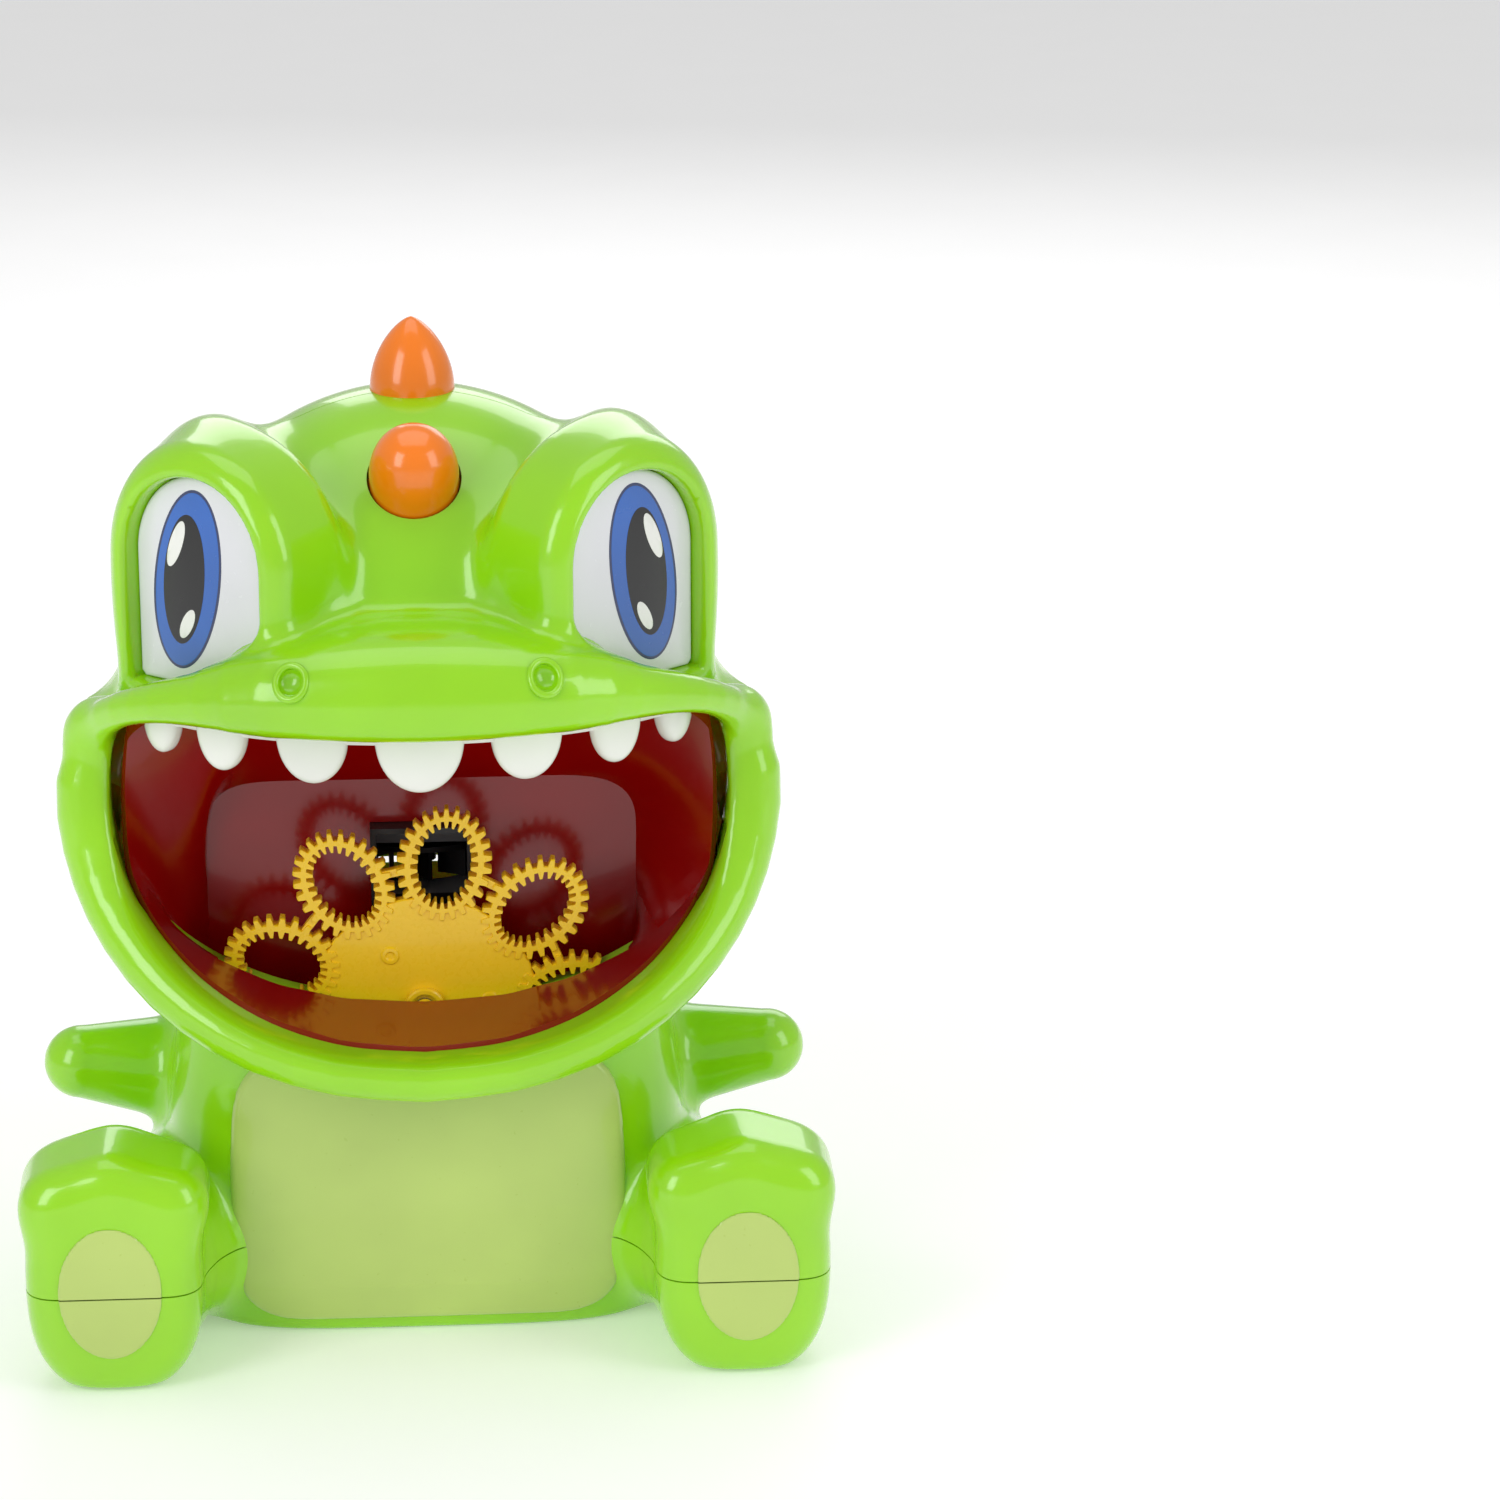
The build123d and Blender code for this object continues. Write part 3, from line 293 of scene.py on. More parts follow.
def sampled(field, low, high, step):
    """Field on a grid, worked out for the right half and mirrored."""
    n = int(math.ceil(high[0] / step)) + 1
    xs = (np.arange(n) + 0.5) * step
    ys = np.arange(low[1], high[1] + step, step)
    zs = np.arange(low[2], high[2] + step, step)
    half = np.empty((len(xs), len(ys), len(zs)), np.float32)
    yy, zz = np.meshgrid(ys, zs, indexing="ij")
    yy, zz = yy.astype(np.float32), zz.astype(np.float32)
    for i in range(0, len(xs), 8):
        part = xs[i:i + 8].astype(np.float32)
        block = np.broadcast_to(part[:, None, None], (len(part),) + yy.shape)
        half[i:i + 8] = field(block, np.broadcast_to(yy, block.shape), np.broadcast_to(zz, block.shape))
    full = np.concatenate([half[::-1], half])
    return full, (-xs[-1], ys[0], zs[0])


def make_mesh(name, pts, faces):
    """Mesh object from points in millimetres."""
    mesh = bpy.data.meshes.new(name)
    pts = np.asarray(pts, float) * MM
    pts[:, 1] += SHIFT_Y * MM
    faces = np.asarray(faces)
    if faces.ndim == 2:
        n, k = faces.shape
        mesh.vertices.add(len(pts))
        mesh.vertices.foreach_set("co", pts.ravel())
        mesh.loops.add(n * k)
        mesh.loops.foreach_set("vertex_index", faces.ravel().astype(np.int32))
        mesh.polygons.add(n)
        mesh.polygons.foreach_set("loop_start", np.arange(0, n * k, k, dtype=np.int32))
        mesh.update(calc_edges=True)
    else:
        mesh.from_pydata([tuple(p) for p in pts], [], [list(f) for f in faces])
    mesh.validate()
    obj = bpy.data.objects.new(name, mesh)
    bpy.context.scene.collection.objects.link(obj)
    return obj


# ------------------------------------------------------------------ mesh helpers
def settle_mesh(obj):
    """Leaves the piece with its modifiers applied and smooth faces with crisp edges."""
    graph = bpy.context.evaluated_depsgraph_get()
    mesh = bpy.data.meshes.new_from_object(obj.evaluated_get(graph))
    obj.modifiers.clear()
    obj.data = mesh
    mesh.polygons.foreach_set("use_smooth", np.ones(len(mesh.polygons), bool))
    mesh.set_sharp_from_angle(angle=math.radians(38))
    return obj


def combine(obj, other, how="DIFFERENCE"):
    """Joins, cuts or meets two closed meshes, and uses the second one up."""
    mod = obj.modifiers.new(how, "BOOLEAN")
    mod.operation = how
    mod.solver = "MANIFOLD"
    mod.object = other
    graph = bpy.context.evaluated_depsgraph_get()
    mesh = bpy.data.meshes.new_from_object(obj.evaluated_get(graph))
    obj.modifiers.clear()
    obj.data = mesh
    bpy.data.objects.remove(other)
    return obj


def copy_of(obj, name):
    """The same object again, with a mesh of its own."""
    other = obj.copy()
    other.data = obj.data.copy()
    other.name = name
    bpy.context.scene.collection.objects.link(other)
    return other


def face_out(obj):
    """Turns every face of a closed mesh outwards."""
    bm = bmesh.new()
    bm.from_mesh(obj.data)
    bmesh.ops.recalc_face_normals(bm, faces=bm.faces)
    bm.to_mesh(obj.data)
    bm.free()
    return obj


def loft(name, rings):
    """Skin over rings of points, in millimetres, with a fan over each end."""
    rings = [np.asarray(r, float) for r in rings]
    n = len(rings[0])
    pts = [tuple(p) for r in rings for p in r]
    faces = []
    for k in range(len(rings) - 1):
        for i in range(n):
            j = (i + 1) % n
            faces.append((k * n + i, k * n + j, (k + 1) * n + j, (k + 1) * n + i))
    pts += [tuple(rings[0].mean(0)), tuple(rings[-1].mean(0))]
    last = (len(rings) - 1) * n
    for i in range(n):
        j = (i + 1) % n
        faces.append((j, i, n * len(rings)))
        faces.append((last + i, last + j, n * len(rings) + 1))
    return face_out(make_mesh(name, pts, np.array(faces, dtype=object)))


def axes_of(way):
    """Two directions square to a way."""
    w = Vector(way).normalized()
    side = Vector((1, 0, 0)) if abs(w.x) < 0.9 else Vector((0, 1, 0))
    u = (side - w * side.dot(w)).normalized()
    return u, w.cross(u), w


def turned(name, profile, at, way, n=96):
    """Lathe piece from (radius, height) pairs, its ends on the axis."""
    u, v, w = axes_of(way)
    at = Vector(at)
    rings = []
    for r, h in profile:
        r = max(r, 0.004)
        rings.append([at + w * h + (u * math.cos(t) + v * math.sin(t)) * r
                      for t in np.linspace(0, 2 * math.pi, n, endpoint=False)])
    return loft(name, rings)


def rod(name, a, b, r, n=48):
    """Cylinder from a to b."""
    way = Vector(b) - Vector(a)
    return turned(name, [(r, 0), (r, way.length)], a, way, n)


def along_y(name, x, z, y0, y1, r, n=48):
    return rod(name, (x, y0, z), (x, y1, z), r, n)


def prism(name, outline, y0, y1):
    """Outline of (x, z) points drawn out along Y."""
    return loft(name, [[(x, y, z) for x, z in outline] for y in (y0, y1)])


def block(name, x0, x1, y0, y1, z0, z1):
    return prism(name, [(x0, z0), (x1, z0), (x1, z1), (x0, z1)], y0, y1)


def rounded(corners, r, n=6):
    """Outline with its corners rounded by r."""
    out = []
    count = len(corners)
    for i in range(count):
        p = Vector(corners[i])
        a = Vector(corners[i - 1]) - p
        b = Vector(corners[(i + 1) % count]) - p
        reach = min(r, a.length * 0.45, b.length * 0.45)
        a, b = p + a.normalized() * reach, p + b.normalized() * reach
        for k in range(n + 1):
            t = k / n
            out.append(tuple(a * (1 - t) ** 2 + p * 2 * t * (1 - t) + b * t * t))
    return out


# ------------------------------------------------------------------ materials
def linear(rgb):
    """Colour from 0 to 255 as the linear values that a shader takes."""
    parts = [c / 255 for c in rgb]
    return tuple(c / 12.92 if c <= 0.04045 else ((c + 0.055) / 1.055) ** 2.4 for c in parts) + (1.0,)


def shader(name, rgb, rough, spread=0.06, grain=900.0, bump=0.05, tone=0.10, **sockets):
    """Moulded or metal surface: slow colour drift, uneven gloss and a fine skin."""
    mat = bpy.data.materials.new(name)
    mat.use_nodes = True
    tree = mat.node_tree
    bsdf = tree.nodes["Principled BSDF"]
    place = tree.nodes.new("ShaderNodeTexCoord").outputs["Object"]
    drift = tree.nodes.new("ShaderNodeTexNoise")
    drift.inputs["Scale"].default_value = 28.0
    drift.inputs["Detail"].default_value = 3.0
    fine = tree.nodes.new("ShaderNodeTexNoise")
    fine.inputs["Scale"].default_value = grain
    fine.inputs["Detail"].default_value = 4.0
    tree.links.new(place, drift.inputs["Vector"])
    tree.links.new(place, fine.inputs["Vector"])
    ramp = tree.nodes.new("ShaderNodeValToRGB")
    base = linear(rgb)
    ramp.color_ramp.elements[0].position = 0.3
    ramp.color_ramp.elements[1].position = 0.7
    ramp.color_ramp.elements[0].color = tuple(c * (1 - tone) for c in base[:3]) + (1,)
    ramp.color_ramp.elements[1].color = tuple(min(1, c * (1 + tone * 0.5)) for c in base[:3]) + (1,)
    tree.links.new(drift.outputs["Fac"], ramp.inputs["Fac"])
    tree.links.new(ramp.outputs["Color"], bsdf.inputs["Base Color"])
    span = tree.nodes.new("ShaderNodeMapRange")
    span.inputs["To Min"].default_value = max(0.02, rough - spread)
    span.inputs["To Max"].default_value = min(1.0, rough + spread)
    tree.links.new(fine.outputs["Fac"], span.inputs["Value"])
    tree.links.new(span.outputs["Result"], bsdf.inputs["Roughness"])
    push = tree.nodes.new("ShaderNodeBump")
    push.inputs["Strength"].default_value = bump
    push.inputs["Distance"].default_value = 0.0002
    tree.links.new(fine.outputs["Fac"], push.inputs["Height"])
    tree.links.new(push.outputs["Normal"], bsdf.inputs["Normal"])
    for key, value in sockets.items():
        bsdf.inputs[key.replace("_", " ")].default_value = value
    return mat


def coated(mat, amount=0.6, rough=0.05):
    """The same material with a clear gloss over it."""
    bsdf = mat.node_tree.nodes["Principled BSDF"]
    bsdf.inputs["Coat Weight"].default_value = amount
    bsdf.inputs["Coat Roughness"].default_value = rough
    return mat


GREEN = coated(shader("green_plastic", (152, 219, 14), 0.22, bump=0.03, Subsurface_Weight=0.06))
ORANGE = coated(shader("orange_plastic", (255, 128, 8), 0.22, bump=0.03), 0.45)
PALE = coated(shader("pale_green_plastic", (186, 208, 110), 0.3, bump=0.05), 0.35)
WHITE = coated(shader("white_plastic", (240, 240, 236), 0.2, bump=0.02))
EYE_WHITE = coated(shader("eye_white", (226, 226, 232), 0.25, bump=0.02), 0.5)
BLUE = coated(shader("iris_blue", (20, 96, 190), 0.25, tone=0.25), 0.7)
NAVY = coated(shader("iris_edge", (14, 38, 92), 0.3), 0.7)
BLACK = coated(shader("pupil_black", (8, 8, 9), 0.3), 0.3)
RED = coated(shader("red_plastic", (150, 2, 2), 0.2, bump=0.03, Transmission_Weight=0.12), 0.25)
YELLOW = coated(shader("yellow_plastic", (255, 208, 24), 0.28, bump=0.06), 0.3)
DARK = shader("black_plastic", (26, 26, 28), 0.4, bump=0.15)
GREY = shader("grey_plastic", (120, 122, 126), 0.42, bump=0.15)
MILK = shader("milky_gear_plastic", (232, 230, 220), 0.38, bump=0.08, Subsurface_Weight=0.1)
STEEL = shader("steel", (190, 192, 196), 0.28, grain=2200.0, bump=0.12, Metallic=1.0)
ZINC = shader("plated_can", (205, 206, 208), 0.32, grain=1500.0, bump=0.18, Metallic=1.0)
BRASS = shader("contact_metal", (214, 198, 150), 0.3, Metallic=1.0)
BOARD = shader("circuit_board", (16, 96, 52), 0.35, grain=600.0, bump=0.2)
CELL = shader("cell_jacket", (52, 60, 74), 0.3, bump=0.05)
RUBBER = shader("black_rubber", (20, 20, 20), 0.7, bump=0.3)
PAPER = shader("speaker_cone", (48, 44, 40), 0.75, grain=500.0, bump=0.5)


def dress(obj, mat):
    """One material over the whole object."""
    obj.data.materials.clear()
    obj.data.materials.append(mat)
    obj.data.polygons.foreach_set("material_index", np.zeros(len(obj.data.polygons), np.int32))
    return obj


def piece(obj, mat, body_name, *stands_for):
    """Finishes a piece, puts it on its body and hides the nodes it stands for."""
    settle_mesh(obj)
    dress(obj, mat)
    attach(obj, body_name)
    if stands_for:
        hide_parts(*stands_for)
    return obj


# ------------------------------------------------------------------ driving sizes
SEAM = 0.13
SPLIT_Z = 18.0
WALL = 2.2
HUB_Z, WHEEL_Y = 57.0, -19.5
MOUTH_ROWS = (
    (0, 114.4), (25, 114.4), (44, 113.6), (50.5, 109), (52.3, 99), (51.5, 88.5),
    (48.7, 80.4), (43.6, 73.8), (36.5, 68), (26.4, 63), (14, 59.9), (0, 58.9),
)
SCREWS = ((25.0, 148.0), (58.0, 84.5), (39.3, 22.5))
DOOR = (-31.0, 31.0, 84.5, 141.0)
LUG = (37.0, 113.7, 6.1)
VENTS = (80.8, 73.5, 65.6)
VENT_HALF, VENT_TALL = 23.0, 3.2
GRILLE, GRILLE_PITCH = (41, 77.8), 4.6
POST_R, RECESS_R = 4.4, 2.55
RIB_GAP, RIB_DEEP, RIB_HALF = 0.12, 1.1, 2.0
POWER_C, POWER_TILT, POWER_R = (0.0, -22.5, 153.4), 59.0, 7.7
POWER_WAY = (0.0, -math.cos(math.radians(POWER_TILT)), math.sin(math.radians(POWER_TILT)))
MUSIC_Y, MUSIC_Z, MUSIC_R = 31.0, 151.2, 8.1
FIXED_R = 8.8


def mouth_outline(n=6):
    right = smooth_rows(MOUTH_ROWS, n)
    return right + [(-x, z) for x, z in reversed(right[1:-1])]


def grown(outline, by):
    """Outline moved outwards by a distance."""
    p = np.array(outline)
    back, ahead = np.roll(p, 1, 0), np.roll(p, -1, 0)
    run = ahead - back
    out = np.stack([run[:, 1], -run[:, 0]], 1) / np.linalg.norm(run, axis=1, keepdims=True)
    centre = p.mean(0)
    sign = np.sign(((p - centre) * out).sum())
    return [tuple(q) for q in p + out * by * sign]


def flat_distance(outline, x, z):
    """Signed distance to a closed outline, negative inside."""
    p = np.array(outline)
    q = np.roll(p, -1, 0)
    best = np.full(x.shape, 1e9)
    inside = np.zeros(x.shape, bool)
    for (ax, az), (bx, bz) in zip(p, q):
        dx, dz = bx - ax, bz - az
        t = np.clip(((x - ax) * dx + (z - az) * dz) / (dx * dx + dz * dz), 0, 1)
        best = np.minimum(best, (x - ax - t * dx) ** 2 + (z - az - t * dz) ** 2)
        cross = (az > z) != (bz > z)
        with np.errstate(divide="ignore", invalid="ignore"):
            at = ax + (z - az) * dx / dz
        inside ^= cross & (x < at)
    best = np.sqrt(best)
    return np.where(inside, -best, best)


TABLE_LOW, TABLE_STEP = (-2.0, 40.0), 0.5
table_x = TABLE_LOW[0] + TABLE_STEP * np.arange(160)
table_z = TABLE_LOW[1] + TABLE_STEP * np.arange(200)
MOUTH_TABLE = flat_distance(mouth_outline(), *np.meshgrid(table_x, table_z, indexing="ij"))


def mouth_field(x, z):
    """Distance to the mouth's outline, read between the points of a small grid."""
    u = np.clip((x - TABLE_LOW[0]) / TABLE_STEP, 0, MOUTH_TABLE.shape[0] - 1.001)
    v = np.clip((z - TABLE_LOW[1]) / TABLE_STEP, 0, MOUTH_TABLE.shape[1] - 1.001)
    i, j = u.astype(int), v.astype(int)
    fu, fv = u - i, v - j
    t = MOUTH_TABLE
    return ((t[i, j] * (1 - fu) + t[i + 1, j] * fu) * (1 - fv)
            + (t[i, j + 1] * (1 - fu) + t[i + 1, j + 1] * fu) * fv)


MOUTH_FLOOR_Y = -19.0


def outside(x, y, z):
    """The body with its mouth opened, the lip rounded over."""
    solid = body(x, y, z)
    mouth = np.maximum(mouth_field(np.abs(x), z) - 0.8, y - MOUTH_FLOOR_Y)
    return carve(solid, mouth, 3.0)


# ------------------------------------------------------------------ casings
low, high = (0, -66, -3), (73, 56, 168)
values, corner = sampled(outside, low, high, STEP)
outer_pts, outer_faces = nets(values, corner, STEP)
outer = make_mesh("outer", settle(outside, outer_pts), outer_faces)
inner_pts, inner_faces = nets(values + WALL, corner, STEP)
inner = make_mesh("inner", settle(outside, inner_pts, -WALL, 2), inner_faces)

# thin rib behind the parting seam, so that no light shows through the joint
rib_out_pts, rib_out_faces = nets(values + WALL + RIB_GAP, corner, STEP)
rib = make_mesh("seam_rib", rib_out_pts, rib_out_faces)
rib_in_pts, rib_in_faces = nets(values + WALL + RIB_DEEP, corner, STEP)
combine(rib, make_mesh("rib_core", rib_in_pts, rib_in_faces))
combine(rib, block("zone", -90, 90, -RIB_HALF, RIB_HALF, SPLIT_Z, 190), "INTERSECT")

for x, z in SCREWS:
    for s in (-1, 1):
        combine(inner, along_y("post", s * x, z, 3.5, 60, POST_R))
combine(inner, along_y("post", LUG[0], LUG[1], 16, 60, 4.2))
shell = combine(outer, inner)

front = copy_of(shell, "front_casing_skin")
combine(front, block("zone", -90, 90, -90, -SEAM, SPLIT_Z + SEAM, 190), "INTERSECT")
rear = shell
rear.name = "rear_casing_skin"
combine(rear, block("zone", -90, 90, -90, SEAM, SPLIT_Z - SEAM, 190))

combine(front, prism("mouth", grown(mouth_outline(), 1.2), -27, -5))


def on_power(side, deep):
    """Point on the forehead button's axis, or beside it."""
    p = Vector(POWER_C) - Vector(POWER_WAY) * deep
    return (p.x + side, p.y, p.z)


combine(front, rod("power_hole", on_power(0, 14), on_power(0, -14), POWER_R + 0.4))
combine(rear, along_y("music_hole", 0, MUSIC_Z, 12, 60, MUSIC_R + 0.35, 96))
combine(rear, along_y("knob_hole", 0, 48.0, 20, 60, FIXED_R + 0.15, 96))
for x, z in SCREWS:
    for s in (-1, 1):
        combine(rear, along_y("recess", s * x, z, 6.0, 60, RECESS_R))

x0, x1, z0, z1 = DOOR


def door_outline(gap):
    """The door and the round tab for its screw, each smaller all round by a gap."""
    lx, lz, lr = LUG
    left, right, foot, top = x0 + gap, x1 - gap, z0 + gap, z1 - gap
    plate = rounded([(left, foot), (right, foot), (right, top), (left, top)], 1.6)
    tab = [(lx + (lr - gap) * math.sin(t), lz - (lr - gap) * math.cos(t))
           for t in np.linspace(0, math.pi, 20)]
    tab = [(x1 - 3, lz - lr + gap)] + tab + [(x1 - 3, lz + lr - gap)]
    return plate, tab


door = copy_of(rear, "battery_door_skin")
plate, tab = door_outline(0.22)
form = prism("form", plate, 18, 60)
combine(form, prism("tab", tab, 18.01, 60.01), "UNION")
combine(door, form, "INTERSECT")
plate, tab = door_outline(0.0)
hole = prism("hole", plate, 17, 61)
combine(hole, prism("tab", tab, 17.01, 61.01), "UNION")
combine(rear, hole)
combine(door, along_y("lug_recess", LUG[0], LUG[1], 20.2, 60, RECESS_R))


def back_at(x, z):
    """Depth of the back surface behind a point, found by halving."""
    a, b = 5.0, 60.0
    one = np.ones(1)
    for _ in range(30):
        m = (a + b) / 2
        if body(one * x, one * m, one * z)[0] < 0:
            a = m
        else:
            b = m
    return a


def vent_cutter(z):
    """Cutter for one vent: a lip is left over the slit, as on a louvre."""
    rings = []
    for x in np.linspace(-VENT_HALF, VENT_HALF, 25):
        end = math.sqrt(max(0.0, 1 - max(0.0, (abs(x) - VENT_HALF + 1.6) / 1.62) ** 2))
        half = VENT_TALL / 2 * max(end, 0.12)
        y = back_at(x, z)
        slit = max(z - half, z + half - 1.0)
        rings.append([(x, y + 4, z - half), (x, y - 0.1, z - half), (x, y - 2.0, slit),
                      (x, y - 6, slit), (x, y - 6, z + half), (x, y + 4, z + half)])
    return loft("vent", rings)


for z in VENTS:
    combine(rear, vent_cutter(z))
for n in range(6):
    for k in (0, 1, 2) if n == 0 else (1, 2):
        t = math.radians(60 * n + 8)
        x, z = GRILLE[0] + k * GRILLE_PITCH * math.cos(t), GRILLE[1] + k * GRILLE_PITCH * math.sin(t)
        combine(rear, along_y("grille", x, z, 12, 60, 1.0, 20))


def local_form(name, field, low, high, step):
    """Closed mesh of a small field worked out on its own grid."""
    xs = [np.arange(a, b + step, step) for a, b in zip(low, high)]
    grid = np.meshgrid(*xs, indexing="ij")
    pts, faces = nets(field(*grid), [a[0] for a in xs], step)
    return make_mesh(name, settle(field, pts), faces)


# nostrils: a raised rim about a shallow pit
def front_at(x, z):
    """Depth of the face's surface in front of a point, found by halving."""
    a, b = -70.0, -5.0
    one = np.ones(1)
    for _ in range(30):
        m = (a + b) / 2
        if outside(one * x, one * m, one * z)[0] > 0:
            a = m
        else:
            b = m
    return b


NOSTRIL = (21.0, 126.4)
RIM_HALF, RIM_RISE, RIM_R, RIM_SUNK = 2.6, 3.0, 0.62, 0.12
RIM_STEPS, RIM_SIDES = 56, 14
for s, side in ((-1, "right"), (1, "left")):
    at = np.array([[s * NOSTRIL[0], front_at(s * NOSTRIL[0], NOSTRIL[1]), NOSTRIL[1]]])
    way = slope(outside, at)[0]
    u, v, w = axes_of(way)
    at = Vector(at[0])
    rings = []
    for a in np.linspace(0, 2 * math.pi, RIM_STEPS, endpoint=False):
        out = u * math.cos(a) * RIM_HALF + v * math.sin(a) * RIM_RISE
        lean = out.normalized()
        rings.append([at + out + (lean * math.cos(b) + w * math.sin(b)) * RIM_R - w * RIM_SUNK
                      for b in np.linspace(0, 2 * math.pi, RIM_SIDES, endpoint=False)])
    n = RIM_SIDES
    pts = [tuple(p) for r in rings for p in r]
    faces = []
    for k in range(RIM_STEPS):
        ahead = (k + 1) % RIM_STEPS
        for i in range(n):
            j = (i + 1) % n
            faces.append((k * n + i, k * n + j, ahead * n + j, ahead * n + i))
    ring = face_out(make_mesh("nostril_rim_" + side, pts, np.array(faces)))
    pit = [(2.2 * math.sin(t), -1.5 * math.cos(t)) for t in np.linspace(0, math.pi, 14)]
    combine(front, turned("pit", pit, at, w, 40))
    piece(ring, GREEN, "base")

piece(front, GREEN, "base", "front_casing")
piece(rear, GREEN, "base", "rear_casing")
piece(door, GREEN, "door", "battery_door")
piece(rib, GREEN, "base")


# ------------------------------------------------------------------ eyes
def eye_point(s, a, b, w):
    """Point on the eye of side s, from its distances across, up and outward."""
    c, n = math.cos(YAW), math.sin(YAW)
    return (s * (EYE_MID[0] + a * c + w * n), EYE_MID[1] + a * n - w * c, EYE_MID[2] + b)


def arch_outline(gap, n=40):
    """Outline of the eye panel, smaller all round by a gap."""
    half = EYE_HALF - gap
    base = EYE_TOP - EYE_HALF
    low = EYE_LOW + gap
    pts = [(half * math.cos(t), base + half * math.sin(t)) for t in np.linspace(0, math.pi, n)]
    return pts + [(-half, z) for z in np.linspace(base, low + 0.8, 10)[1:]] + [
        (x, low) for x in np.linspace(-half + 0.8, half - 0.8, 16)] + [
        (half, z) for z in np.linspace(low + 0.8, base, 10)[:-1]]


def oval(s, name, mat, a, b, ra, rb, lean, w0, w1):
    """Thin printed spot on the eye panel."""
    rings = []
    for w, k in ((w0, 1.0), (w1 - 0.02, 1.0), (w1, 0.985)):
        rings.append([])
        for t in np.linspace(0, 2 * math.pi, 72, endpoint=False):
            p, q = ra * k * math.cos(t), rb * k * math.sin(t)
            x = a + p * math.cos(lean) - q * math.sin(lean)
            z = b + p * math.sin(lean) + q * math.cos(lean)
            rings[-1].append(eye_point(s, x, z, w))
    return piece(loft(name, rings), mat, "base")


for s, side in ((1, "left"), (-1, "right")):
    rings = []
    for gap, w in ((0.12, -0.58), (0.12, 0.35), (0.25, 0.62), (0.5, 0.78), (0.9, 0.85)):
        rings.append([eye_point(s, a, b, w) for a, b in arch_outline(gap)])
    piece(loft("eye_panel_" + side, rings), EYE_WHITE, "base", side + "_eye")
    iris_lean = math.radians(11.0)
    oval(s, "iris_edge_" + side, NAVY, 2.9, -0.75, 7.6, 16.1, iris_lean, 0.7, 0.90)
    oval(s, "iris_" + side, BLUE, 2.9, -0.75, 7.1, 15.6, iris_lean, 0.7, 0.94)
    oval(s, "pupil_" + side, BLACK, 3.6, -0.8, 4.7, 11.5, math.radians(7.6), 0.7, 0.98)
    oval(s, "eye_light_upper_" + side, WHITE, 5.2, 5.2, 1.4, 4.5, math.radians(24), 0.7, 1.02)
    oval(s, "eye_light_lower_" + side, WHITE, 3.15, -8.5, 1.25, 3.0, math.radians(31), 0.7, 1.02)

# ------------------------------------------------------------------ teeth
TOOTH_ROW = ((0.0, 7.6, 9.6), (18.0, 6.3, 8.3), (33.2, 4.9, 7.6), (43.6, 4.0, 6.6))
ARC_X, ARC_Y = 56.0, 46.0
TEETH_TOP = 114.4


def tooth_at(s, x):
    """Root of a tooth on the upper lip's arc, with its directions across and outward."""
    t = math.asin(x / ARC_X)
    yaw = math.atan2(ARC_Y * math.sin(t), ARC_X * math.cos(t))
    across = Vector((math.cos(yaw), s * math.sin(yaw), 0))
    outward = Vector((s * math.sin(yaw), -math.cos(yaw), 0))
    return Vector((s * x, -ARC_Y * math.cos(t) + 0.6, TEETH_TOP)), across, outward


teeth = None
for x, half, drop in TOOTH_ROW:
    for s in ((1, -1) if x else (1,)):
        at, across, outward = tooth_at(s, x)
        rings = []
        for h in np.linspace(0, 1, 22):
            h = math.sin(h * math.pi / 2)
            f = max((1 - h ** 2.3) ** 0.5, 0.02)
            bulge = 2.5 * f ** 0.7
            ring = []
            for t in np.linspace(0, 2 * math.pi, 48, endpoint=False):
                c, q = math.cos(t), math.sin(t)
                c = math.copysign(abs(c) ** 0.8, c)
                q = math.copysign(abs(q) ** 0.8, q)
                ring.append(at + across * c * half * f + outward * q * bulge
                            - Vector((0, 0, h * (drop + 0.9))))
            rings.append(ring)
        tooth = loft("tooth", rings)
        teeth = tooth if teeth is None else combine(teeth, tooth, "UNION")
rings = []
for t in np.linspace(-0.93, 0.93, 60):
    x, y = ARC_X * math.sin(t), -ARC_Y * math.cos(t)
    q = Vector((math.sin(t) / ARC_X, -math.cos(t) / ARC_Y, 0)).normalized()
    base = Vector((x, y + 0.6, TEETH_TOP))
    rings.append([base - q * 1.6 + Vector((0, 0, 0.4)), base - q * 1.6 - Vector((0, 0, 1.5)),
                  base - q * 1.0 - Vector((0, 0, 2.0)), base + q * 1.0 - Vector((0, 0, 2.0)),
                  base + q * 1.4 - Vector((0, 0, 1.5)), base + q * 1.4 + Vector((0, 0, 0.4))])
combine(teeth, loft("gum", rings), "UNION")
teeth.name = "tooth_row"
piece(teeth, WHITE, "base", "upper_teeth")


# ------------------------------------------------------------------ loop wheel
DISC_R, THICK, LOOPS = 20.0, 3.0, 9
LOOP_AT, FIRST_LOOP = 26.2, 81.5
LOOP_OUT, LOOP_IN = (10.3, 8.3), (6.9, 4.7)
LOOP_TEETH_OUT, LOOP_TEETH_IN = 1.3, 1.2
TIE_AT, TIE_HALF, TIE_REACH = 25.0, 0.7, 4.2
TOOTH_COUNT = 26
# share of one tooth's pitch, and how far out the outline is there
TOOTH_STEPS = ((0.0, 0), (0.16, 0), (0.30, 1), (0.38, 1.04), (0.56, 1.04), (0.64, 1), (0.78, 0))


